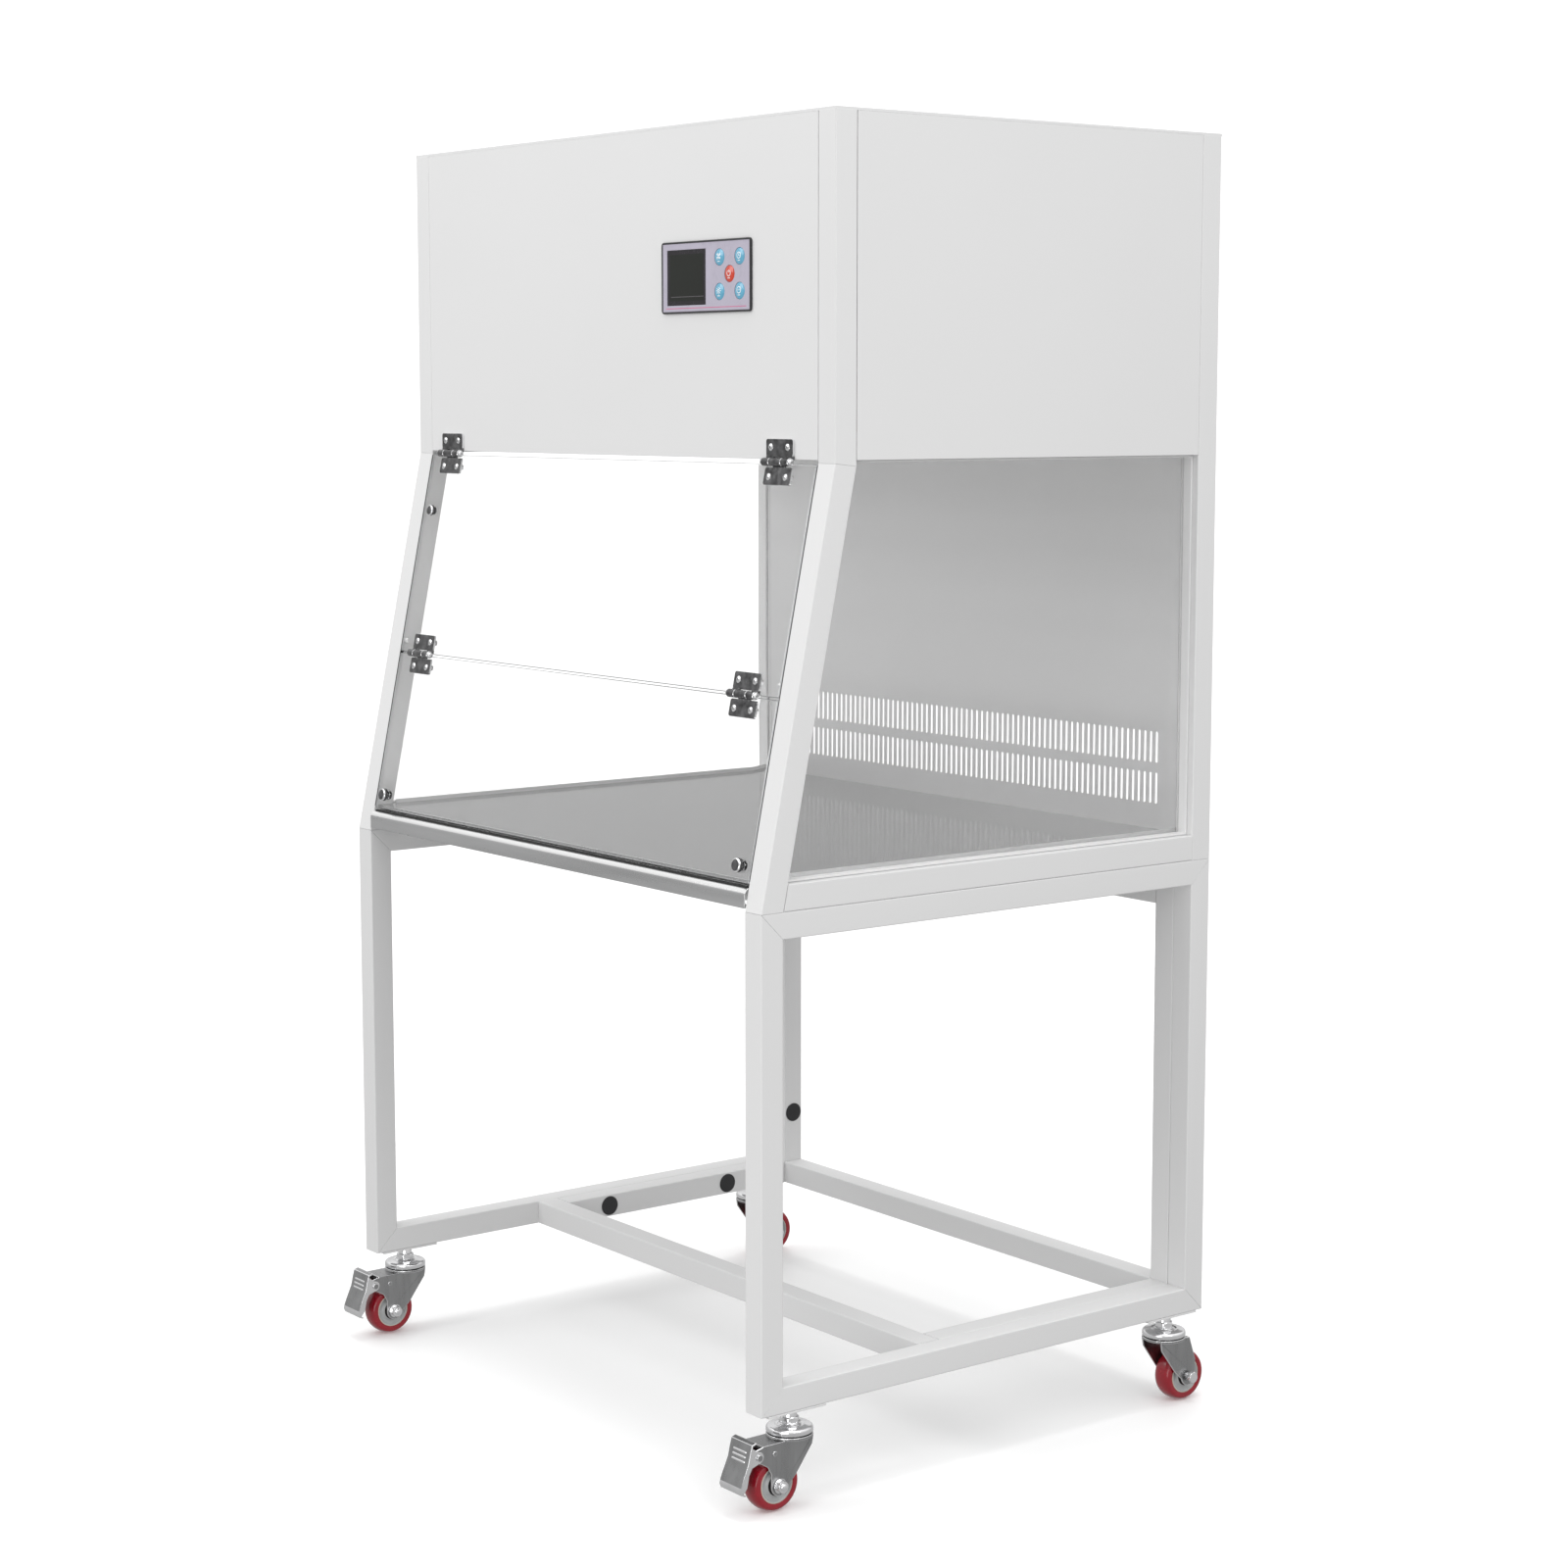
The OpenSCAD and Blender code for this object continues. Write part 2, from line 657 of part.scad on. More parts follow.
knob_r = 8;
module knobs() color("silver") slant() at_knobs() {
    rod_y(-6.5, -0.3, knob_r);
    rod_y(-1, acrylic + 6, 2.4);
    rod_y(acrylic + 0.3, acrylic + 4.5, 5.5);
}

module catch_stud() color("silver") slant() translate([-knob_x, 0, -catch_s]) {
    rod_y(-4.6, -0.3, knob_r - 1);
    rod_y(-1, acrylic + 3.5, 2.4);
    rod_y(acrylic + 0.3, acrylic + 2.8, 5);
}

// ---------- stand ----------

module mitre(outer, inner) {
    difference() {
        xprism(in_w, half_w) polygon(outer);
        xprism(in_w + wall, half_w - wall) polygon(inner);
    }
}

rail_bolt_1 = stretch_y + tube + 66;
rail_bolt_2 = rail_bolt_1 + 200;
post_bolt = 100;
bolt_r = 4;
module at_bolts() {
    for (y = [yf + rail_bolt_1, yf + rail_bolt_2]) translate([0, y, zs + tube / 2]) children();
    for (z = [zs + post_bolt, zh - post_bolt]) translate([0, yb - tube / 2, z]) children();
}

module stand_side() difference() {
    union() {
        y0 = yf;
        y1 = yb;
        t = tube;
        w = wall;
        e = eps;
        z1 = zh - 0.2;
        // front leg, back leg, top rail, bottom rail
        mitre([[y0, zs + e], [y0 + t, zs + t + e], [y0 + t, z1 - t - e], [y0, z1 - e]],
            [[y0 + w, zs], [y0 + t - w, zs + t - 2 * w], [y0 + t - w, z1 - t + 2 * w], [y0 + w, z1]]);
        mitre([[y1, zs + e], [y1, z1 - e], [y1 - t, z1 - t - e], [y1 - t, zs + t + e]],
            [[y1 - w, zs], [y1 - w, z1], [y1 - t + w, z1 - t + 2 * w], [y1 - t + w, zs + t - 2 * w]]);
        mitre([[y0 + e, z1], [y1 - e, z1], [y1 - t - e, z1 - t], [y0 + t + e, z1 - t]],
            [[y0, z1 - w], [y1, z1 - w], [y1 - t + 2 * w, z1 - t + w], [y0 + t - 2 * w, z1 - t + w]]);
        mitre([[y0 + e, zs], [y0 + t + e, zs + t], [y1 - t - e, zs + t], [y1 - e, zs]],
            [[y0, zs + w], [y0 + t - 2 * w, zs + t - w], [y1 - t + 2 * w, zs + t - w], [y1, zs + w]]);
    }
    at_bolts() rod_x(in_w - 1, in_w + wall + 1, bolt_r + 0.2);
    for (y = [stem_front, stem_back])
        translate([in_w + tube / 2, y, zs - 1]) cylinder(h = wall + 2, r = stem_r + 0.2);
}
module stand_side_l() color("white") mirror_x(false) stand_side();
module stand_side_r() color("white") mirror_x(true) stand_side();

link_top = zh - tube;
module stand_link() color("white") {
    x1 = in_w - 0.2;
    x0 = x1 - tube;
    tube_x(-x1, x1, yf + stretch_y, yf + stretch_y + tube, zs, zs + tube);
    tube_x(-x0 + eps, x0 - eps, yb - tube, yb, zs, zs + tube);
    tube_x(-x0 + eps, x0 - eps, yb - tube, yb, link_top - tube, link_top);
    for (side = [false, true]) mirror_x(side) difference() {
        union() {
            tube_y(x0, x1, yf + stretch_y + tube + eps, yb - tube - eps, zs, zs + tube);
            tube_z(x0, x1, yb - tube, yb, zs, link_top);
        }
        at_bolts() {
            rod_x(x1 - wall - 1, x1 + 1, bolt_r + 0.2);
            rod_x(x0 - 1, x0 + wall + 1, plug_hole);
        }
    }
}
plug_hole = 10;

module stand_bolts() color("dimgray") for (side = [false, true]) mirror_x(side) at_bolts() {
    x1 = in_w - 0.2;
    rod_x(x1 - wall - 5.3, x1 - wall - 0.1, 6.5);
    rod_x(x1 - wall - 1, in_w + 14, bolt_r);
}

module stand_plugs() color("black") for (side = [false, true]) mirror_x(side) at_bolts() {
    x0 = in_w - 0.2 - tube;
    rod_x(x0 - 2, x0 - 0.1, 13);
    rod_x(x0 - 1, x0 + 6, plug_hole - 0.3);
}

// ---------- casters ----------
// local frame: origin on the stem axis at the stand's underside, wheel trails to -Y

stem_r = 6;
fork_in = 15;
fork_t = 2;
fork_out = fork_in + fork_t;
axle_dz = axle_z - caster_h;
axle_r = 4;
pivot = [-56.5, -41.5];            // pedal pivot, Y and Z from the stem
cam_pin = [-33.5, -42];
race_z = -27.8;                    // top of the fork's ring

module caster_at(fx, front) {
    x = fx * (half_w - tube / 2);
    if (front) translate([x, stem_front, zs]) children();
    else translate([x, stem_back, zs]) rotate(180) children();
}

plate_t = 2.4;
plate_l = 80;
king_r = 7;
race_r = 26;
module caster_stem() {
    // clamp plate, then one riveted piece: stem, hexagon, upper race and king pin
    difference() {
        translate([-tube / 2, -plate_l / 2, -plate_t]) cube([tube, plate_l, plate_t]);
        translate([0, 0, -5]) cylinder(h = 10, r = stem_r + 0.2);
    }
    translate([0, 0, -18]) cylinder(h = 32, r = stem_r);
    translate([0, 0, -14]) cylinder(h = 11.2, r = 11, $fn = 6);
    translate([0, 0, -17.5]) cylinder(h = 4, r = 13);
    translate([0, 0, -23]) cylinder(h = 6, r1 = race_r, r2 = 12);
    translate([0, 0, -27]) cylinder(h = 4.1, r = race_r);
    translate([0, 0, -34]) cylinder(h = 8, r = king_r);
    translate([0, 0, -36]) cylinder(h = 2.4, r = 10);
}
module caster_stems() color("silver")
    for (fx = [-1, 1], front = [true, false]) caster_at(fx, front) caster_stem();

fork_line = [[-50, -31.5], [-60, -33.8], [-62, -47], [-52, -50.5], [-43, -56], [-38, -65]];
fork_back = [[-4, -72], [19, -41], [24, -34], [24, -30]];
module fork(brake) {
    ax = [-trail, axle_dz];
    // ring and saddle
    difference() {
        union() {
            translate([0, 0, race_z - 3.2]) cylinder(h = 3.2, r = race_r + 0.5);
            box(-fork_out, fork_out, brake ? -50 : -28, 10, race_z - 5.2, race_z - 3);
            for (s = [-1, 1]) xprism(s > 0 ? fork_in : -fork_out, s > 0 ? fork_out : -fork_in) {
                polygon(concat(brake ? fork_line : [[-28, -31], [-38, -60]],
                    [[ax[0] - 11.5, ax[1]], [ax[0] + 11.4, ax[1] - 2]], fork_back));
                translate(ax) circle(11.5);
                if (brake) translate(pivot) circle(8);
            }
        }
        translate([0, 0, race_z - 9]) cylinder(h = 12, r = king_r + 0.06);
        translate([0, ax[0], ax[1]]) rod_x(-fork_out - 1, fork_out + 1, axle_r + 0.2);
    }
    if (brake) {
        // pedal pivot with its two heads, and the stop pin
        translate([0, pivot[0], pivot[1]]) {
            rod_x(-fork_out - 4, fork_out + 4, pivot_r);
            for (s = [-1, 1]) translate([s * (fork_out + 3.4), 0, 0]) rod_x(-0.8, 0.8, 4);
        }
        translate([0, cam_pin[0], cam_pin[1]]) rod_x(-fork_out - 1.2, fork_out + 1.2, 3);
    }
    // axle bolt with head and nut
    translate([0, ax[0], ax[1]]) {
        rod_x(-fork_out - 3, fork_out + 9, axle_r);
        translate([-fork_out - 5.7, 0, 0]) rotate([0, 90, 0]) cylinder(h = 5.5, r = 7.5, $fn = 6);
        translate([fork_out + 0.2, 0, 0]) rotate([0, 90, 0]) cylinder(h = 7, r = 7.5, $fn = 6);
    }
}
module fork_fl() color("silver") caster_at(-1, true) fork(true);
module fork_fr() color("silver") caster_at(1, true) fork(true);
module fork_bl() color("silver") caster_at(-1, false) fork(false);
module fork_br() color("silver") caster_at(1, false) fork(false);

hub_r = 22;
module tyre() translate([0, -trail, axle_dz]) rotate([0, 90, 0]) rotate_extrude($fn = 64)
    polygon([[hub_r + 0.05, -11.5], [28.5, -12.5], [30.3, -11], [wheel_d / 2 - 0.3, -7.5],
        [wheel_d / 2, -3], [wheel_d / 2, 3], [wheel_d / 2 - 0.3, 7.5], [30.3, 11],
        [28.5, 12.5], [hub_r + 0.05, 11.5]]);
module tyre_fl() color("firebrick") caster_at(-1, true) tyre();
module tyre_fr() color("firebrick") caster_at(1, true) tyre();
module tyre_bl() color("firebrick") caster_at(-1, false) tyre();
module tyre_br() color("firebrick") caster_at(1, false) tyre();

module hub() translate([0, -trail, axle_dz]) difference() {
    union() {
        rod_x(-11.5, 11.5, hub_r);
        rod_x(-13, 13, 12.5);
        rod_x(-14.6, 14.6, 7);
    }
    rod_x(-20, 20, axle_r + 0.06);
    for (s = [-1, 1]) translate([s * 12, 0, 0]) difference() {
        rod_x(-2, 2, 19.5);
        rod_x(-3, 3, 14.5);
    }
}
module hub_fl() color("gray") caster_at(-1, true) hub();
module hub_fr() color("gray") caster_at(1, true) hub();
module hub_bl() color("gray") caster_at(-1, false) hub();
module hub_br() color("gray") caster_at(1, false) hub();

// front plate of the pedal, from its turned lip down to the toe
pedal_line = [[-60.5, -23.6], [-66, -25.4], [-68.2, -33], [-71.2, -46], [-77.5, -60],
    [-81.6, -71], [-pedal_front, -75], [-80.5, -79.5], [-76, -81.5]];
// side cheek that hangs on the pivot
cheek = [[-66.6, -28], [-59, -34], [-56, -35], [-52, -46], [-57, -48.5], [-66, -51.5],
    [-70.5, -60], [-73, -72], [-78, -78.5], [-81.2, -75], [-80.4, -71], [-76.6, -60],
    [-70.4, -46]];
pedal_x = 19.2;
pivot_r = 2.5;
module pedal() {
    xprism(-pedal_x, pedal_x) polygon(concat(pedal_line,
        [for (i = [len(pedal_line) - 1:-1:0]) pedal_line[i] + [1.5, i < 2 ? -1.6 : 1.2]]));
    for (s = [-1, 1]) difference() {
        xprism(s > 0 ? fork_out + 0.6 : -pedal_x, s > 0 ? pedal_x : -fork_out - 0.6) {
            polygon(cheek);
            translate(pivot) circle(6.5);
        }
        translate([s * pedal_x, pivot[0], pivot[1]]) rod_x(-3, 3, pivot_r + 0.08);
    }
}
module pedal_fl() color("silver") caster_at(-1, true) pedal();
module pedal_fr() color("silver") caster_at(1, true) pedal();

// ---------- draw ----------

post_front_l();
post_front_r();
posts_back();
hood_rails();
panel_front();
panel_side_l();
panel_side_r();
panel_back();
panel_top();
back_wall();
work_tray();
glass_l();
glass_r();
glass_strips();
seals();
diffuser();
hepa_frame();
hepa_media();
prefilter();
blower_housing();
blower_motor();
impeller();
lamps();
control_board();
power_inlet();
control_bezel();
control_overlay();
lcd();
button_fan();
button_timer();
button_power();
button_lamp();
button_socket();
sash_upper();
sash_lower();
hinge_frame();
hinge_upper();
hinge_lower();
knobs();
catch_stud();
stand_side_l();
stand_side_r();
stand_link();
stand_bolts();
stand_plugs();
caster_stems();
fork_fl();
fork_fr();
fork_bl();
fork_br();
tyre_fl();
tyre_fr();
tyre_bl();
tyre_br();
hub_fl();
hub_fr();
hub_bl();
hub_br();
pedal_fl();
pedal_fr();
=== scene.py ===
"""Looks of the fume hood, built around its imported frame. Metres, +Z up, the operator at -Y."""
import json
import math

import bmesh
import bpy
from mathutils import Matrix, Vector
from mathutils.bvhtree import BVHTree


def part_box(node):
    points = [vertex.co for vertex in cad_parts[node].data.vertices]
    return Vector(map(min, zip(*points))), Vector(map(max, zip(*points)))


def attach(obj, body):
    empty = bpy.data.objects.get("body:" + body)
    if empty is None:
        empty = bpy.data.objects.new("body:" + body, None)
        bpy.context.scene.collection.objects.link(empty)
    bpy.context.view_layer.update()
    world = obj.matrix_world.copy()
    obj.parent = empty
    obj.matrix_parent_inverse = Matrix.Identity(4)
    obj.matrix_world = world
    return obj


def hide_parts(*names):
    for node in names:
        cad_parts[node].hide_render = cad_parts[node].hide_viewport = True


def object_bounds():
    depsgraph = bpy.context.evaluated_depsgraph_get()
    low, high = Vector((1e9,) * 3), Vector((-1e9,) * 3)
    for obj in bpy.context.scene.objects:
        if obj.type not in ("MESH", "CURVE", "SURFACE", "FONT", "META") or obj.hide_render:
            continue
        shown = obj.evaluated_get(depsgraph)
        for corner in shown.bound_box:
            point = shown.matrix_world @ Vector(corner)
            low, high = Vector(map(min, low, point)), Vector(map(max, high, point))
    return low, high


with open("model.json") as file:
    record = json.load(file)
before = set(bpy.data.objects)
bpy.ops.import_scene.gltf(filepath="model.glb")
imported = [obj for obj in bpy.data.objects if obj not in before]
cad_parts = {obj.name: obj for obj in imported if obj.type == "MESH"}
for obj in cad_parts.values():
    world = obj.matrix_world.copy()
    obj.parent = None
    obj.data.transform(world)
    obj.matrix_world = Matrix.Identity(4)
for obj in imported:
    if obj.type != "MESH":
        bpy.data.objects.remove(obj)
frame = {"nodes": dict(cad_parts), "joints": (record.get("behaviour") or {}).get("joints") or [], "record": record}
CAD_BOX = [list(corner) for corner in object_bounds()]
MM = 0.001
RECORD = frame["record"]
BODY_OF = {node: body for body, nodes in RECORD["behaviour"]["bodies"].items() for node in nodes}
SLOT_OF = {part["node"]: part["material_slot"] for part in RECORD["subparts"]}
JOINT = {joint["name"]: joint for joint in frame["joints"]}
CASTERS = ("fl", "fr", "bl", "br")
BRAKED = ("fl", "fr")
X, Y, Z = Vector((1, 0, 0)), Vector((0, 1, 0)), Vector((0, 0, 1))


# ---------- node materials ----------

# a Mix node has one socket of each name per data type, so they are picked by number
MIX_FACTOR, MIX_FIRST_NUMBER, MIX_FIRST_COLOUR = 0, 2, 6
MIX_NUMBER, MIX_COLOUR = 0, 2


def fill(tree, socket, value):
    """Gives an input a plain value, or links it to an output."""
    if isinstance(value, bpy.types.NodeSocket):
        tree.links.new(value, socket)
    else:
        socket.default_value = value


def add(tree, kind, props=None, **inputs):
    """A node of this kind. An input is a value or a socket to link; underscores stand for spaces."""
    made = tree.nodes.new("ShaderNode" + kind)
    for key, value in (props or {}).items():
        setattr(made, key, value)
    for key, value in inputs.items():
        fill(tree, made.inputs[key.replace("_", " ")], value)
    return made


def calculate(tree, operation, *values, clamp=False):
    """The result of a math node on these values or sockets."""
    made = add(tree, "Math", {"operation": operation, "use_clamp": clamp})
    for socket, value in zip(made.inputs, values):
        fill(tree, socket, value)
    return made.outputs[0]


def object_point(tree, scale=(1, 1, 1)):
    """The point on the object in metres, stretched by scale."""
    where = add(tree, "TexCoord").outputs["Object"]
    return add(tree, "Mapping", Vector=where, Scale=scale).outputs["Vector"]


def noise(tree, size, detail=3, stretch=(1, 1, 1)):
    """Noise from 0 to 1 whose features are about size metres; a stretch below 1 draws them out."""
    return add(tree, "TexNoise", Vector=object_point(tree, stretch), Scale=1 / size,
               Detail=detail, Roughness=0.55).outputs["Fac"]


def between(tree, factor, low, high, start=0.3, end=0.7):
    """factor from start to end turned into a value from low to high."""
    return add(tree, "MapRange", {"clamp": True}, Value=factor, From_Min=start, From_Max=end,
               To_Min=low, To_Max=high).outputs["Result"]


def blend(tree, factor, first, second):
    """Mix of two colours by factor."""
    made = add(tree, "Mix", {"data_type": "RGBA"})
    fill(tree, made.inputs[MIX_FACTOR], factor)
    for index, colour in ((MIX_FIRST_COLOUR, first), (MIX_FIRST_COLOUR + 1, second)):
        is_socket = isinstance(colour, bpy.types.NodeSocket)
        fill(tree, made.inputs[index], colour if is_socket else (*colour, 1))
    return made.outputs[MIX_COLOUR]


def edges(tree, radius):
    """About 1 on outer edges and 0 elsewhere."""
    rounded = add(tree, "Bevel", {"samples": 4}, Radius=radius).outputs["Normal"]
    true = add(tree, "NewGeometry").outputs["Normal"]
    alike = add(tree, "VectorMath", {"operation": "DOT_PRODUCT"})
    fill(tree, alike.inputs[0], rounded)
    fill(tree, alike.inputs[1], true)
    return between(tree, alike.outputs["Value"], 1, 0, 0.80, 0.995)


def shade(colour, amount):
    """The colour made lighter or darker."""
    return tuple(min(1, channel * amount) for channel in colour)


def surface(name, colour, rough, metal=0.0, vary=0.06, patch=0.05, grain=None, grain_depth=0.0,
            stretch=(1, 1, 1), edge_colour=None, edge_width=0.8 * MM, **fixed):
    """A material with broad colour and roughness variation, a fine grain in its bump, and lighter edges.

    rough is (low, high). vary is the share by which the colour changes over patches of size patch.
    grain is the size of the bump's features, grain_depth how deep they are, and a stretch below 1
    draws both out along that axis. edge_colour is the colour on outer edges, edge_width their width;
    on the paint, the tray and the chrome these lighter edges are a painted highlight.
    fixed holds plain values for the shader's own sockets.
    """
    material = bpy.data.materials.new(name)
    material.use_nodes = True
    tree = material.node_tree
    shader = tree.nodes["Principled BSDF"]
    fill(tree, shader.inputs["Metallic"], metal)
    broad = noise(tree, patch, 4, stretch)
    tint = blend(tree, between(tree, broad, 0, 1), shade(colour, 1 - vary), shade(colour, 1 + vary))
    fine = noise(tree, grain or patch / 10, 2, stretch)
    spread = calculate(tree, "MULTIPLY_ADD", fine, 0.5, broad)
    roughness = between(tree, spread, *rough, 0.5, 1.0)
    # lighter outer edges broken up by noise: on the paint, the tray and the chrome a painted highlight
    if edge_colour:
        breaks = between(tree, noise(tree, 4 * MM), 0.25, 1)
        lighter_edges = calculate(tree, "MULTIPLY", edges(tree, edge_width), breaks)
        tint = blend(tree, lighter_edges, tint, edge_colour)
    fill(tree, shader.inputs["Base Color"], tint)
    fill(tree, shader.inputs["Roughness"], roughness)
    if grain_depth:
        bump = add(tree, "Bump", Height=fine, Distance=grain_depth, Strength=1.0)
        fill(tree, shader.inputs["Normal"], bump.outputs["Normal"])
    for key, value in fixed.items():
        fill(tree, shader.inputs[key.replace("_", " ")], value)
    return material


def clear(name, colour, rough, ior, shadow):
    """Clear sheet with faint smears. Lamps shine through it, tinted by shadow."""
    material = surface(name, colour, rough, vary=0.004, patch=0.12,
                       Transmission_Weight=1.0, IOR=ior)
    tree = material.node_tree
    passing = add(tree, "BsdfTransparent", Color=(*shadow, 1)).outputs["BSDF"]
    lamp_ray = add(tree, "LightPath").outputs["Is Shadow Ray"]
    seen = tree.nodes["Principled BSDF"].outputs[0]
    both = add(tree, "MixShader")
    for socket, value in zip(both.inputs, (lamp_ray, seen, passing)):
        fill(tree, socket, value)
    fill(tree, tree.nodes["Material Output"].inputs["Surface"], both.outputs[0])
    return material


# the paint's lighter edges are a painted highlight
PAINT = surface("paint_white", (0.76, 0.76, 0.76), (0.34, 0.44), vary=0.006, patch=0.3,
                grain=1.6 * MM, grain_depth=0.012 * MM, edge_colour=(0.84, 0.84, 0.84), edge_width=1.2 * MM)
STEEL_WALL = surface("steel_brushed_wall", (0.83, 0.83, 0.832), (0.42, 0.56), 1.0, 0.05, 0.16,
                     grain=0.7 * MM, grain_depth=0.006 * MM, stretch=(0.03, 1, 1))
# the tray's steel, far darker than the wall's: a painted dark reflection; its bright edges are a painted highlight
STEEL_TRAY_DARK_REFLECTION = surface("steel_tray_painted_dark_reflection", (0.27, 0.27, 0.272), (0.07, 0.13), 1.0, 0.04, 0.18,
                     grain=0.8 * MM, grain_depth=0.002 * MM, stretch=(0.03, 1, 1),
                     edge_colour=(0.92, 0.92, 0.92))
# the front face of the tray's lip, darker than the wall's steel: a painted dark reflection
STEEL_LIP_DARK_REFLECTION = surface("steel_lip_painted_dark_reflection", (0.58, 0.582, 0.585), (0.24, 0.34), 1.0, 0.12, 0.03,
                    grain=0.7 * MM, grain_depth=0.008 * MM, stretch=(0.08, 1, 1))
# the rolled nose of the tray's lip, painted near white: a painted highlight
STEEL_NOSE_HIGHLIGHT = surface("steel_nose_painted_highlight", (0.93, 0.93, 0.93), (0.16, 0.26), 1.0, 0.03, 0.03,
                     grain=0.8 * MM, grain_depth=0.004 * MM, stretch=(0.03, 1, 1))
STEEL_PLAIN = surface("steel_plain", (0.5, 0.5, 0.51), (0.28, 0.4), 1.0, 0.08, 0.05,
                      grain=0.6 * MM, grain_depth=0.01 * MM)
# chrome painted dark with strong mottled patches: a painted dark reflection; its bright edges are a painted
# highlight
CHROME_DARK_REFLECTION = surface("chrome_painted_dark_reflection", (0.15, 0.15, 0.153), (0.07, 0.16), 1.0, 0.5, 0.008,
                 grain=0.9 * MM, grain_depth=0.006 * MM, edge_colour=(0.9, 0.9, 0.9), edge_width=0.5 * MM)
# the same chrome painted bright, for hinge sides, knuckle ends, pin heads, screws and knob rims: a painted
# highlight
CHROME_HIGHLIGHT = surface("chrome_painted_highlight", (0.88, 0.88, 0.89), (0.10, 0.20), 1.0, 0.05, 0.012)
# the caster zinc's darker copy, on fork cheeks and pedal sheet: a painted dark reflection
ZINC_DARK_REFLECTION = surface("zinc_brushed_painted_dark_reflection", (0.36, 0.362, 0.365), (0.24, 0.36), 1.0, 0.10, 0.012,
               grain=0.7 * MM, grain_depth=0.012 * MM, stretch=(1, 1, 0.12))
# the caster zinc's bright copy, on edges, toe, ribs, bolts and stems: a painted highlight
ZINC_HIGHLIGHT = surface("zinc_painted_highlight", (0.86, 0.86, 0.87), (0.08, 0.18), 1.0, 0.04, 0.012,
                      grain=0.8 * MM, grain_depth=0.008 * MM)
GALVANISED = surface("galvanised", (0.55, 0.57, 0.58), (0.35, 0.55), 1.0, 0.16, 0.02,
                     grain=3 * MM, grain_depth=0.01 * MM)
CAST = surface("cast_alloy", (0.62, 0.63, 0.64), (0.35, 0.5), 1.0, 0.05, 0.02,
               grain=0.8 * MM, grain_depth=0.02 * MM)
GLASS = clear("side_glass", (0.99, 0.99, 0.99), (0.0, 0.0), 1.50, (0.94, 0.94, 0.94))
ACRYLIC = clear("acrylic_clear", (0.995, 0.996, 0.996), (0.0, 0.0), 1.49, (0.96, 0.96, 0.96))
# the top and bottom edges of the sash sheets, painted dark: a painted shade
ACRYLIC_EDGE_SHADE = surface("acrylic_edge_painted_shade", (0.22, 0.225, 0.23), (0.25, 0.4), vary=0.06, patch=0.03)
# the side edges of the sash sheets, painted pale: a painted highlight
ACRYLIC_EDGE_HIGHLIGHT = surface("acrylic_edge_painted_highlight", (0.66, 0.67, 0.68), (0.25, 0.4), vary=0.06, patch=0.03)
WHITE_PLASTIC = surface("plastic_white", (0.80, 0.80, 0.80), (0.38, 0.5), vary=0.015, patch=0.1,
                        grain=0.8 * MM, grain_depth=0.01 * MM)
BLACK_PLASTIC = surface("plastic_black", (0.016, 0.016, 0.018), (0.3, 0.45), vary=0.2, patch=0.03,
                        grain=0.6 * MM, grain_depth=0.015 * MM, edge_colour=(0.06, 0.06, 0.065))
RUBBER = surface("rubber_black", (0.018, 0.018, 0.018), (0.6, 0.8), vary=0.2, patch=0.02,
                 grain=0.5 * MM, grain_depth=0.02 * MM)
URETHANE = surface("urethane_red", (0.32, 0.006, 0.017), (0.16, 0.3), vary=0.10, patch=0.012,
                   grain=1.2 * MM, grain_depth=0.01 * MM, Coat_Weight=0.25, Coat_Roughness=0.1)
HUB_GREY = surface("hub_grey", (0.46, 0.47, 0.47), (0.35, 0.5), vary=0.06, patch=0.01,
                   grain=0.7 * MM, grain_depth=0.015 * MM, edge_colour=(0.62, 0.61, 0.57))
HUB_RIM = surface("hub_rim", (0.62, 0.58, 0.49), (0.35, 0.5), vary=0.05, patch=0.01)
BOARD = surface("filter_board", (0.66, 0.52, 0.34), (0.6, 0.8), vary=0.14, patch=0.01,
                grain=0.8 * MM, grain_depth=0.05 * MM, stretch=(0.2, 1, 1))
MEDIA = surface("filter_media", (0.86, 0.86, 0.82), (0.8, 0.95), vary=0.03, patch=0.01,
                grain=0.5 * MM, grain_depth=0.05 * MM, Sheen_Weight=0.3)
MOTOR = surface("motor_black", (0.03, 0.03, 0.034), (0.35, 0.5), 0.3, 0.15, 0.02,
                grain=0.8 * MM, grain_depth=0.03 * MM, edge_colour=(0.2, 0.2, 0.2))
LAMP = surface("lamp_tube", (0.88, 0.89, 0.92), (0.08, 0.16), vary=0.02, patch=0.05, Coat_Weight=0.6)
CIRCUIT = surface("circuit_green", (0.02, 0.16, 0.06), (0.25, 0.4), vary=0.3, patch=0.006,
                  grain=1.5 * MM, grain_depth=0.03 * MM, stretch=(1, 1, 0.3))
OVERLAY = surface("overlay_film", (0.48, 0.45, 0.54), (0.25, 0.34), vary=0.025, patch=0.02,
                  grain=0.35 * MM, grain_depth=0.006 * MM)
OVERLAY_LINE = surface("overlay_line", (0.62, 0.16, 0.30), (0.3, 0.4), vary=0.04, patch=0.02)
LCD_FRAME = surface("lcd_frame", (0.020, 0.017, 0.021), (0.2, 0.3), vary=0.1, patch=0.02,
                    Specular_IOR_Level=0.3)
LCD_GLASS = surface("lcd_glass", (0.013, 0.015, 0.012), (0.08, 0.14), vary=0.06, patch=0.03,
                    Specular_IOR_Level=0.3)
LCD_LINE = surface("lcd_line", (0.085, 0.078, 0.085), (0.25, 0.35), vary=0.05, patch=0.02)
BLUE = surface("button_blue", (0.13, 0.42, 0.60), (0.14, 0.22), vary=0.07, patch=0.006,
               Coat_Weight=0.5)
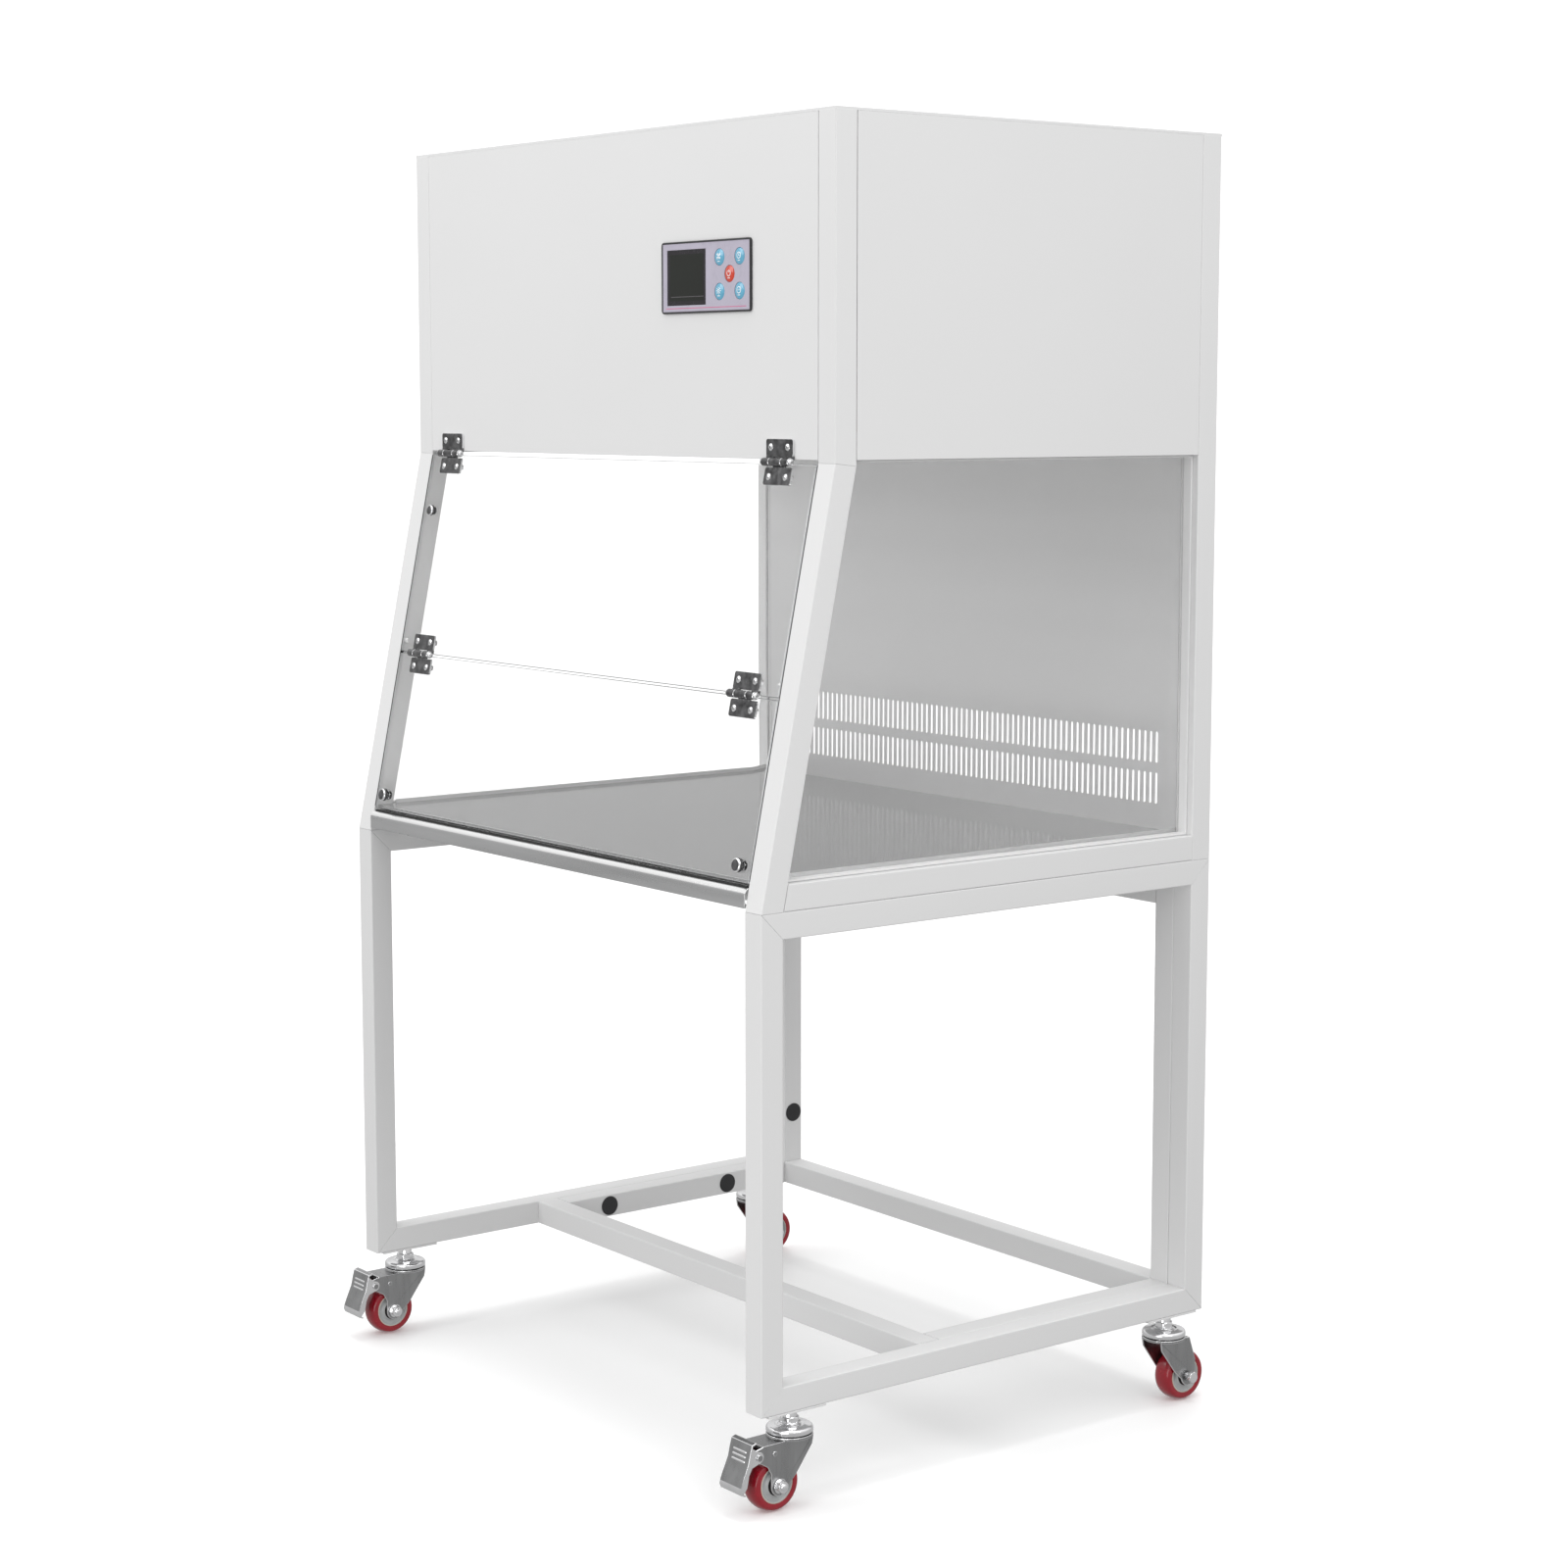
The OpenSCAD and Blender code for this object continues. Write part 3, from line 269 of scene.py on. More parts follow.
RED = surface("button_red", (0.62, 0.048, 0.02), (0.14, 0.22), vary=0.07, patch=0.006,
              Coat_Weight=0.5)
ICON = surface("icon_white", (0.86, 0.88, 0.9), (0.3, 0.4), vary=0.02, patch=0.01)

# the look of each of the record's material slots; a list gives a piece its materials 0 and 1
SLOT_LOOK = {
    "painted_white": PAINT, "stainless": STEEL_WALL, "side_glass": GLASS, "acrylic": ACRYLIC,
    "black_rubber": RUBBER, "black_plastic": BLACK_PLASTIC, "white_plastic": WHITE_PLASTIC,
    "filter_board": BOARD, "filter_media": MEDIA, "galvanised": GALVANISED, "cast_alloy": CAST,
    "motor_black": MOTOR, "lamp_white": LAMP, "circuit_green": CIRCUIT, "overlay_grey": OVERLAY,
    "lcd_black": LCD_GLASS, "button_blue": BLUE, "button_red": RED, "chrome_zinc": CHROME_DARK_REFLECTION,
    "bolt_steel": STEEL_PLAIN, "caster_steel": [ZINC_DARK_REFLECTION, ZINC_HIGHLIGHT], "red_urethane": URETHANE,
    "hub_grey": HUB_GREY,
}


# ---------- mesh helpers ----------

def cad_mesh(node):
    """A welded copy of a CAD node's mesh, with each flat area as one face."""
    bm = bmesh.new()
    bm.from_mesh(frame["nodes"][node].data)
    bmesh.ops.remove_doubles(bm, verts=bm.verts, dist=0.002 * MM)
    bmesh.ops.dissolve_limit(bm, angle_limit=math.radians(0.3), verts=bm.verts, edges=bm.edges)
    bmesh.ops.recalc_face_normals(bm, faces=bm.faces)
    return bm


def islands(bm):
    """The separate solids of a mesh, as lists of vertices, always in the same order."""
    seen, found = set(), []
    for first in bm.verts:
        if first in seen:
            continue
        seen.add(first)
        stack, group = [first], []
        while stack:
            vert = stack.pop()
            group.append(vert)
            for edge in vert.link_edges:
                other = edge.other_vert(vert)
                if other not in seen:
                    seen.add(other)
                    stack.append(other)
        found.append(group)
    return found


def span(verts, axis):
    """Length of a group of vertices along an axis."""
    along = [v.co.dot(axis) for v in verts]
    return max(along) - min(along)


def is_sharp(edge, angle=30):
    """Whether an edge's faces turn by more than the angle in degrees."""
    return len(edge.link_faces) == 2 and edge.calc_face_angle(0) > math.radians(angle)


def round_edges(bm, chosen, width, segments=3, slot=-1):
    """Bevels the chosen edges. slot is the new faces' material, or -1 for their neighbours'."""
    if chosen:
        bmesh.ops.bevel(bm, geom=list(chosen), offset=width, segments=segments, profile=0.5,
                        affect="EDGES", offset_type="OFFSET", material=slot)


def paint(bm, slot, test=lambda face: True, but=frozenset()):
    """Gives a material slot to the faces that pass the test, but leaves out some faces."""
    for face in bm.faces:
        if face not in but and test(face):
            face.material_index = slot


def bridge(bm, rings, closed=False):
    """Faces from each ring of vertices to the next, and from the last to the first if closed."""
    made = []
    for first, second in zip(rings, rings[1:] + rings[:1] if closed else rings[1:]):
        for i in range(len(first)):
            j = (i + 1) % len(first)
            made.append(bm.faces.new([first[i], first[j], second[j], second[i]]))
    return made


def skin(bm, loops, slot=0):
    """A closed solid through loops of points, with a flat face on the first and the last."""
    rings = [[bm.verts.new(point) for point in loop] for loop in loops]
    made = [bm.faces.new(rings[0][::-1]), bm.faces.new(rings[-1]), *bridge(bm, rings)]
    for face in made:
        face.material_index = slot
    return made


def in_mm(*points):
    """Profile points given in millimetres."""
    return [(radius * MM, along * MM) for radius, along in points]


def show(name, data):
    """A new object in the scene."""
    made = bpy.data.objects.new(name, data)
    bpy.context.scene.collection.objects.link(made)
    return made


def piece(name, bm, materials, body, replaced=(), smooth=40):
    """Turns a mesh into a finished piece that rides on a body."""
    mesh = bpy.data.meshes.new(name)
    bm.to_mesh(mesh)
    bm.free()
    for material in materials if isinstance(materials, (list, tuple)) else [materials]:
        mesh.materials.append(material)
    mesh.polygons.foreach_set("use_smooth", [True] * len(mesh.polygons))
    mesh.set_sharp_from_angle(angle=math.radians(smooth))
    made = show(name, mesh)
    flat = made.modifiers.new("flat_faces", "WEIGHTED_NORMAL")
    flat.keep_sharp = True
    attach(made, body)
    if replaced:
        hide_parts(*replaced)
    return made


def stand_for(node, bm, materials=None):
    """The finished piece that stands for one CAD node."""
    slot = SLOT_OF[node]
    return piece(f"{node}_finish", bm, materials or SLOT_LOOK[slot], BODY_OF[node], (node,))


def softened(node, width):
    """A CAD node with all its sharp edges rounded."""
    bm = cad_mesh(node)
    round_edges(bm, [e for e in bm.edges if is_sharp(e)], width, 2)
    return stand_for(node, bm)


def tube_frame(node, radius=1.5 * MM):
    """A frame of welded square tubes: only the tubes' long outer edges are rounded."""
    bm = cad_mesh(node)
    chosen = []
    for group in islands(bm):
        links = dict.fromkeys(e for v in group for e in v.link_edges)
        longest = max(links, key=lambda e: e.calc_length())
        along = (longest.verts[1].co - longest.verts[0].co).normalized()
        for edge in links:
            way = (edge.verts[1].co - edge.verts[0].co).normalized()
            if is_sharp(edge) and edge.is_convex and abs(way.dot(along)) > 0.999:
                chosen.append(edge)
    round_edges(bm, chosen, radius)
    return stand_for(node, bm)


def turned(profile, centre, axis, segments=64, bm=None):
    """A solid turned round axis through centre. profile lists (radius, distance along axis)."""
    bm = bm or bmesh.new()
    axis = axis.normalized()
    side = axis.orthogonal().normalized()
    other = axis.cross(side)
    rings = []
    for radius, along in profile:
        if radius < 1e-7:
            rings.append([bm.verts.new(centre + axis * along)])
            continue
        ring = []
        for i in range(segments):
            turn = 2 * math.pi * i / segments
            out = side * math.cos(turn) + other * math.sin(turn)
            ring.append(bm.verts.new(centre + axis * along + out * radius))
        rings.append(ring)
    for low, high in zip(rings, rings[1:]):
        for i in range(segments):
            j = (i + 1) % segments
            corners = [low[i % len(low)], low[j % len(low)], high[j % len(high)], high[i % len(high)]]
            unique = list(dict.fromkeys(corners))
            if len(unique) > 2:
                bm.faces.new(unique)
    for ring, flip in ((rings[0], True), (rings[-1], False)):
        if len(ring) > 1:
            bm.faces.new(ring[::-1] if flip else ring)
    bmesh.ops.recalc_face_normals(bm, faces=bm.faces)
    return bm


def arc(centre_r, centre_a, radius, start, end, steps=6):
    """Profile points on an arc, angles in degrees from outward (0) to along the axis (90)."""
    points = []
    for i in range(steps + 1):
        turn = math.radians(start + (end - start) * i / steps)
        points.append((centre_r + radius * math.cos(turn), centre_a + radius * math.sin(turn)))
    return points


def hexagon(centre, axis, flats, low, high, bm, chamfer=0.12):
    """A hexagonal nut or head with its corners chamfered, from low to high along axis.

    chamfer is its height at the corners, as a share of the width across the flats.
    """
    axis = axis.normalized()
    side = axis.orthogonal().normalized()
    other = axis.cross(side)
    corner = flats / math.sqrt(3)
    inner = flats / 2 * 0.98
    sixth = math.pi / 3
    count = 48
    loops = []
    for level, inward in ((low, 1), (high, -1)):
        face_loop, wall_loop = [], []
        for i in range(count):
            turn = 2 * math.pi * i / count
            reach = flats / 2 / math.cos((turn + sixth / 2) % sixth - sixth / 2)
            drop = flats * chamfer * (reach - inner) / (corner - inner)
            out = side * math.cos(turn) + other * math.sin(turn)
            face_loop.append(centre + axis * level + out * inner)
            wall_loop.append(centre + axis * (level + inward * drop) + out * reach)
        loops += [face_loop, wall_loop][::inward]
    skin(bm, loops)
    bmesh.ops.recalc_face_normals(bm, faces=bm.faces)


# ---------- frame, panels and chamber ----------

def frames():
    """Welded square tubes of the hood and the stand."""
    for node in ("post_front_l", "post_front_r", "posts_back", "hood_rails",
                 "stand_side_l", "stand_side_r", "stand_link"):
        tube_frame(node)


def panels():
    """Covers, windows and their strips, work tray and seals."""
    for node in ("panel_front", "panel_side_l", "panel_side_r", "panel_back"):
        softened(node, 0.5 * MM)
    work_tray()
    softened("glass_strips", 0.6 * MM)
    seals()
    for node in ("glass_l", "glass_r"):
        softened(node, 0.5 * MM)


def work_tray():
    """Brushed tray, its steel darker than the wall's: a painted dark reflection. The rolled nose of its lip takes
    a painted highlight, the face below it a painted dark reflection.
    """
    bm = cad_mesh("work_tray")
    round_edges(bm, [e for e in bm.edges if is_sharp(e)], 0.35 * MM, 2)
    bm.normal_update()
    lip_depth = 15.5 * MM
    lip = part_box("work_tray")[0].y + lip_depth
    # the lip's nose painted bright, a painted highlight, and its front face darker, a painted dark reflection
    paint(bm, 2, lambda face: face.calc_center_median().y < lip)
    paint(bm, 1, lambda face: face.calc_center_median().y < lip and face.normal.z < 0.3)
    paint(bm, 3, lambda face: face.calc_center_median().y > lip and abs(face.normal.x) > 0.9)
    stand_for("work_tray", bm, [STEEL_TRAY_DARK_REFLECTION, STEEL_LIP_DARK_REFLECTION, STEEL_NOSE_HIGHLIGHT, STEEL_WALL])


def seals():
    """Rubber seals. The bar under the sash is pressed thin by its weight."""
    pressed = 0.42
    bm = cad_mesh("seals")
    bar = max(islands(bm), key=lambda group: span(group, X))
    foot = min(v.co.z for v in bar)
    for vert in bar:
        vert.co.z = foot + (vert.co.z - foot) * pressed
    round_edges(bm, [e for e in bm.edges if is_sharp(e)], 0.3 * MM, 2)
    stand_for("seals", bm)


def sash_panel(node):
    """A clear sheet whose top and bottom edges are painted dark, a painted shade, and whose side edges are painted
    pale, a painted highlight.
    """
    bm = cad_mesh(node)
    round_edges(bm, [e for e in bm.edges if is_sharp(e, 60)], 1.3 * MM, 3)
    bm.normal_update()
    broad = max(bm.faces, key=lambda f: f.calc_area()).normal.copy()
    # top and bottom edges painted dark, a painted shade; side edges painted pale, a painted highlight
    paint(bm, 1, lambda face: abs(face.normal.dot(broad)) < 0.95)
    paint(bm, 2, lambda face: abs(face.normal.x) > 0.5)
    return stand_for(node, bm, [ACRYLIC, ACRYLIC_EDGE_SHADE, ACRYLIC_EDGE_HIGHLIGHT])


# ---------- hinges and knobs ----------

def cap_of(group, forward):
    """Centre, normal and radius of a round solid's flat front face."""
    faces = {f for v in group for f in v.link_faces if f.normal.dot(forward) > 0.9}
    front = max(faces, key=lambda f: f.calc_center_median().dot(forward))
    centre = front.calc_center_bounds()
    radius = max((v.co - centre).length for v in front.verts)
    return centre, front.normal.copy(), radius


def screw(centre, forward, radius, length, nut, bm):
    """Pan-head screw with a cross recess. centre is the head's top; the shank runs back by length."""
    before = set(bm.faces)
    dome, rim = 1.2 * MM, 1.6 * MM
    profile = [(radius * t, -dome * t ** 2.4) for t in (0, 0.2, 0.4, 0.6, 0.75, 0.88, 0.96, 1)]
    profile += [(radius, -rim), (radius * 0.5, -rim), (radius * 0.5, -length), (0, -length)]
    turned(profile, centre, forward, 40, bm)
    if nut:
        back = centre - forward * (length - 0.6 * MM)
        hexagon(back, forward, radius * 1.7, 0, 2.4 * MM, bm)
    # the whole screw in bright chrome: a painted highlight
    paint(bm, 1, but=before)
    # the cross recess painted black: a painted shade
    side = forward.orthogonal().normalized()
    for way in (side, forward.cross(side)):
        wide = forward.cross(way) * radius * 0.11
        for sign in (-1, 1):
            tip = centre + way * sign * radius * 0.5 - forward * 0.14 * MM
            root = centre + way * sign * radius * 0.05 + forward * 0.02 * MM
            loop = [root - wide, tip - wide, tip + wide, root + wide]
            skin(bm, [[point - forward * 0.3 * MM for point in loop], loop], 2)


def leaf(group, bm):
    """One hinge leaf, drawn anew from its CAD solid.

    It has a plate with rounded corners, its knuckles and, on an outer leaf, the pin's heads.
    out points away from the plate's front, and up runs across the pin.
    """
    faces = {f for v in group for f in v.link_faces}
    widest = max((f for f in faces if f.normal.dot(-Y) > 0.5), key=lambda f: f.calc_area())
    out = widest.normal.copy()
    up = out.cross(X)
    front = widest.verts[0].co.dot(out)
    back = min(v.co.dot(out) for f in faces for v in f.verts if f.normal.dot(out) < -0.999
               and f.calc_area() > 200 * MM * MM)
    flat = {v for f in faces if f.normal.dot(out) > 0.999
            and abs(f.verts[0].co.dot(out) - front) < 0.01 * MM for v in f.verts}
    left, right = min(v.co.x for v in flat), max(v.co.x for v in flat)
    heights = [v.co.dot(up) for v in group if v.co.dot(out) > front + 1 * MM]
    pin = (max(heights) + min(heights)) / 2
    radius = (max(heights) - min(heights)) / 2
    axis = up * pin + out * (max(v.co.dot(out) for v in group) - radius)
    far = max((v.co.dot(up) for v in flat), key=lambda height: abs(height - pin))
    away = 1 if far > pin else -1
    near = pin + away * (radius + 0.8 * MM)

    def loop(x0, x1, edge0, edge1, corner, level):
        low = Vector((x0, 0, min(edge0, edge1)))
        high = Vector((x1, 0, max(edge0, edge1)))
        return [X * x + up * height + out * level for x, height in outline(low, high, corner, 4)]

    ease = 0.35 * MM
    corner = 2.6 * MM
    # back and sides in bright chrome, a painted highlight; the front in dark chrome, a painted dark reflection
    for slot, levels in ((1, ((ease, back), (0, back + ease), (0, front - ease))),
                         (0, ((0, front - ease), (ease, front)))):
        skin(bm, [loop(left + inset, right - inset, near + away * inset, far - away * inset,
                       corner - inset, level) for inset, level in levels], slot)

    outer = max(v.co.x for v in group) > right + 1 * MM
    knuckle, gap = 13 * MM, 0.4 * MM
    web = ((0, back + 0.2 * MM), (0, front - 0.1 * MM), (0.1 * MM, front))
    spans = [(left + knuckle + gap, right - knuckle - gap)]
    if outer:
        spans = [(left, left + knuckle), (right - knuckle, right)]
    for x0, x1 in spans:
        before = set(bm.faces)
        turned([(0, x0), (radius - ease, x0), (radius, x0 + ease), (radius, x1 - ease),
                (radius - ease, x1), (0, x1)], axis, X, 40, bm)
        # knuckle ends in bright chrome: a painted highlight
        paint(bm, 1, lambda face: abs(face.normal.x) >= 0.3, before)
        skin(bm, [loop(x0 + inset, x1 - inset, near + away * 0.8 * MM, pin + away * 2 * MM,
                       0.1 * MM, level) for inset, level in web])
    if outer:
        before = set(bm.faces)
        head = radius - 1 * MM
        profile = [(0, 0.3 * MM), (head, 0.3 * MM), (head, 2.2 * MM), (head - 0.5 * MM, 3 * MM),
                   (head - 1.4 * MM, 3.4 * MM), (0, 3.5 * MM)]
        for end, way in ((left, -X), (right, X)):
            turned(profile, axis + X * end, way, 32, bm)
        # pin heads in bright chrome: a painted highlight
        paint(bm, 1, but=before)


def hinge(node):
    """Butt hinge leaves: faces painted dark, a painted dark reflection; edges, knuckle ends, pin heads and screws
    painted bright, a painted highlight; the screws' cross recesses painted black, a painted shade. Long screws
    have a nut.
    """
    smallest_leaf, shortest_bolt = 20 * MM, 9 * MM
    source = cad_mesh(node)
    bm = bmesh.new()
    for group in islands(source):
        if max(span(group, X), span(group, Z)) > smallest_leaf:
            leaf(group, bm)
        else:
            length = span(group, Y)
            screw(*cap_of(group, -Y), length, length > shortest_bolt, bm)
    source.free()
    bmesh.ops.recalc_face_normals(bm, faces=bm.faces)
    return stand_for(node, bm, [CHROME_DARK_REFLECTION, CHROME_HIGHLIGHT, BLACK_PLASTIC])


def knob(node):
    """Turned knobs with a domed front, and the nut behind the sheet."""
    head = 6.2 * MM if node == "knobs" else 4.3 * MM
    shank, dome, rise, ease = 2.4 * MM, 2.4 * MM, 0.1 * MM, 0.6 * MM
    source = cad_mesh(node)
    bm = bmesh.new()
    for group in islands(source):
        centre, normal, radius = cap_of(group, -Y)
        length = max((centre - v.co).dot(normal) for v in group)
        profile = [(0, 0), (radius * 0.35, -rise)]
        profile += arc(radius - dome, -dome - rise, dome, 80, 0, 7)
        profile += [(radius, -head + ease), (radius - ease, -head), (shank, -head),
                    (shank, -length), (0, -length)]
        turned(profile, centre, normal, 48, bm)
        hexagon(centre - normal * (length - 1.2 * MM), normal, radius * 1.25, 0, 4 * MM, bm)
    source.free()
    bm.normal_update()
    # a band round the dome's rim in bright chrome, a painted highlight; the rest in dark chrome, a painted dark
    # reflection
    paint(bm, 1, lambda face: 0.35 < face.normal.dot(-Y) < 0.93)
    return stand_for(node, bm, [CHROME_DARK_REFLECTION, CHROME_HIGHLIGHT])


# ---------- control panel ----------

def button(name, look, icon):
    """A domed button on its stem. The icon follows the dome."""
    node = f"button_{name}"
    low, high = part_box(node)
    middle = (low + high) / 2
    radius = (high.x - low.x) / 2
    height, stem_radius, stem_length = 2.6 * MM, 2.5 * MM, 6 * MM

    def dome(r):
        """Y of the dome's surface at distance r from its middle."""
        return low.y + height * (1 - math.sqrt(1 - (r / radius) ** 2 * 0.92))

    steps = 14
    profile = [(radius * i / steps, -dome(radius * i / steps)) for i in range(steps + 1)]
    profile += [(radius, -high.y + stem_length), (stem_radius, -high.y + stem_length),
                (stem_radius, -high.y), (0, -high.y)]
    stand_for(node, turned(profile, Vector((middle.x, 0, middle.z)), -Y, 48), look)
    mark = bmesh.new()
    for stroke, closed in icon:
        ribbon(mark, stroke, closed)
    for vert in mark.verts:
        x, z = vert.co.x * radius, vert.co.z * radius
        vert.co = Vector((middle.x + x, dome(math.hypot(x, z)) - 0.04 * MM, middle.z + z))
    bmesh.ops.recalc_face_normals(mark, faces=mark.faces)
    bmesh.ops.solidify(mark, geom=mark.faces[:], thickness=0.12 * MM)
    bmesh.ops.recalc_face_normals(mark, faces=mark.faces)
    piece(f"icon_{name}", mark, ICON, BODY_OF[node], smooth=60)


def ribbon(bm, points, closed, half=0.05, step=0.08):
    """A flat stroke along points in X and Z, in units of the button's radius."""
    fine = []
    for first, second in zip(points, points[1:] + points[:1] if closed else points[1:]):
        count = max(1, round(math.dist(first, second) / step))
        for i in range(count):
            fine.append(tuple(a + (b - a) * i / count for a, b in zip(first, second)))
    if not closed:
        fine.append(points[-1])
    count = len(fine)
    rails = []
    for i, (x, z) in enumerate(fine):
        before = fine[(i - 1) % count] if closed or i else fine[0]
        after = fine[(i + 1) % count] if closed or i < count - 1 else fine[-1]
        dx, dz = after[0] - before[0], after[1] - before[1]
        size = math.hypot(dx, dz)
        nx, nz = -dz / size * half, dx / size * half
        rails.append((bm.verts.new((x + nx, 0, z + nz)), bm.verts.new((x - nx, 0, z - nz))))
    for i in range(count if closed else count - 1):
        a, b = rails[i], rails[(i + 1) % count]
        bm.faces.new([a[0], a[1], b[1], b[0]])


def polar(cx, cz, radius, degrees):
    """The point at this distance and angle from a centre."""
    turn = math.radians(degrees)
    return (cx + radius * math.cos(turn), cz + radius * math.sin(turn))


def ring_points(cx, cz, radius, start=0, end=360, steps=24):
    """Points on a circle from start to end degrees, both included."""
    return [polar(cx, cz, radius, start + (end - start) * i / steps) for i in range(steps + 1)]


def icons():
    """Plain line icons: for each button its strokes, as (points, closed).

    They are in units of the button's radius. A short bar stands for the word under each.
    """
    drawn = {
        "fan": [([polar(0, 0.1, 0.07, t), polar(0, 0.1, 0.36, t - 20.05),
                  polar(0, 0.1, 0.42, t + 14.32)], True) for t in range(45, 360, 90)],
        "timer": [(ring_points(0, 0.08, 0.36)[:-1], True),
                  ([(0, 0.30), (0, 0.08), (0.17, 0)], False)],
        "power": [(ring_points(0, 0.05, 0.34, 120, 420), False), ([(0, 0.48), (0, 0.12)], False)],
        "lamp": [(ring_points(0, 0.08, 0.17)[:-1], True)]
                + [([polar(0, 0.08, 0.28, t), polar(0, 0.08, 0.45, t)], False)
                   for t in range(0, 360, 45)],
        "socket": [(ring_points(0, 0.08, 0.38)[:-1], True), ([(-0.13, 0.02), (-0.13, 0.18)], False),
                   ([(0.13, 0.02), (0.13, 0.18)], False)],
    }
    bar = ([(-0.24, -0.52), (0.24, -0.52)], False)
    return {name: strokes + [bar] for name, strokes in drawn.items()}


def outline(low, high, corner, steps=5):
    """Points in X and Z round an upright rectangle with rounded corners."""
    left, right = low.x + corner, high.x - corner
    foot, top = low.z + corner, high.z - corner
    points = []
    for cx, cz, start in ((right, top, 0), (left, top, 90), (left, foot, 180), (right, foot, 270)):
        points += ring_points(cx, cz, corner, start, start + 90, steps)
    return points


def rounded_plate(bm, low, high, y0, y1, corner, steps=5, slot=0):
    """A plate with rounded corners in X and Z, from y0 (front) to y1."""
    points = outline(low, high, corner, steps)
    skin(bm, [[(x, y, z) for x, z in points] for y in (y0, y1)], slot)


def control_bezel():
    """Black rim round the control panel, with eased edges."""
    low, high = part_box("control_bezel")
    rim, ease = 2 * MM, 0.5 * MM
    inward = Vector((1, 0, 1))
    bm = bmesh.new()
    rings = []
    for shrink, corner, y in ((0, 4 * MM, high.y), (0, 4 * MM, low.y + ease), (ease, 3.5 * MM, low.y),
                              (rim - ease, 1.2 * MM, low.y), (rim, 0.7 * MM, low.y + ease),
                              (rim, 0.7 * MM, high.y)):
        points = outline(low + inward * shrink, high - inward * shrink, corner)
        rings.append([bm.verts.new((x, y, z)) for x, z in points])
    bridge(bm, rings, closed=True)
    bmesh.ops.recalc_face_normals(bm, faces=bm.faces)
    stand_for("control_bezel", bm)


def display():
    """Black frame, dark glass and the one line drawn on it."""
    low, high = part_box("lcd")
    bm = bmesh.new()
    rounded_plate(bm, low, high, low.y + 0.1 * MM, high.y, 1 * MM)
    bmesh.ops.recalc_face_normals(bm, faces=bm.faces)
    round_edges(bm, [e for e in bm.edges if is_sharp(e, 60)], 0.4 * MM, 2)
    inset = Vector((5 * MM, 0, 5 * MM))
    rounded_plate(bm, low + inset, high - inset, low.y, low.y + 0.3 * MM, 1 * MM, slot=1)
    line_z, line_width = low.z + 9 * MM, 0.9 * MM
    start = Vector((low.x + 7 * MM, 0, line_z))
    end = Vector((high.x - 4 * MM, 0, line_z + line_width))
    rounded_plate(bm, start, end, low.y - 0.03 * MM, low.y + 0.2 * MM, 0.3 * MM, 2, slot=2)
    bmesh.ops.recalc_face_normals(bm, faces=bm.faces)
    stand_for("lcd", bm, [LCD_FRAME, LCD_GLASS, LCD_LINE])


def overlay_line():
    """The coloured line printed along the foot of the overlay."""
    low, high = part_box("control_overlay")
    bm = bmesh.new()
    start = Vector((low.x + 6 * MM, 0, low.z + 3.2 * MM))
    end = Vector((high.x - 6 * MM, 0, low.z + 4.1 * MM))
    rounded_plate(bm, start, end, low.y - 0.05 * MM, low.y + 0.3 * MM, 0.3 * MM, 2)
    piece("overlay_line", bm, OVERLAY_LINE, BODY_OF["control_overlay"])


def control_panel():
    """Bezel, display, overlay line and buttons. The overlay itself stays as the CAD has it."""
    control_bezel()
    display()
    overlay_line()
    for name, icon in icons().items():
        button(name, RED if name == "power" else BLUE, icon)


# ---------- casters ----------

def swivel_top(corner):
    """Where a caster's swivel axis meets the underside of the stand."""
    x, y, _ = JOINT[f"caster_{corner}_swivel"]["pos_m"]
    return Vector((x, y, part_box(f"stand_side_{corner[1]}")[0].z))


def caster_stem(corner, bm):
    """Collar, hexagon and domed upper race of one caster, and its king pin."""
    top = swivel_top(corner)
    rise = (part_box("caster_stems")[1].z - top.z) / MM
    pin_head = in_mm((0, rise), (5.2, rise), (6, rise - 0.8), (6, -2.5))
    collar = in_mm((8.4, -2.6), (8.4, -9.6), (9.6, -9.8), (9.6, -17.2), (12.6, -17.5), (12.9, -18.6))
    race = in_mm((14, -19), (15.4, -18.2), (17.5, -18.2), (21, -18.9))
    race += arc(22.7 * MM, -22.6 * MM, 3.7 * MM, 74, 0, 7)
    race += in_mm((26.4, -25.4), (25.6, -27))
    pin_foot = in_mm((7, -27), (7, -33.6), (10, -33.7), (10, -35), (8.6, -36), (0, -36))
    turned(pin_head + collar + race + pin_foot, top, Z, 64, bm)
    hexagon(top, Z, 20 * MM, -17.4 * MM, -9.6 * MM, bm)


def caster_tops():
    """The clamp plates as in the CAD, painted, over stems that are turned anew."""
    bm = cad_mesh("caster_stems")
    plate_thickness = 5 * MM
    for group in islands(bm):
        if span(group, Z) > plate_thickness:
            bmesh.ops.delete(bm, geom=group, context="VERTS")
    long_edges = [e for e in bm.edges if is_sharp(e, 60) and e.calc_length() > 20 * MM]
    round_edges(bm, long_edges, 0.4 * MM, 2)
    plates = set(bm.faces)
    for corner in CASTERS:
        caster_stem(corner, bm)
    # the turned stems in bright zinc: a painted highlight
    paint(bm, 1, but=plates)
    stand_for("caster_stems", bm, [PAINT, ZINC_HIGHLIGHT])


def caster_seal(corner):
    """The dark ring in the gap under the upper race."""
    profile = in_mm((20, -27.75), (25, -27.75), (25.4, -27.4), (25, -27.05), (20, -27.05))
    bm = turned(profile, swivel_top(corner), Z, 64)
    piece(f"caster_seal_{corner}", bm, RUBBER, f"fork_{corner}")


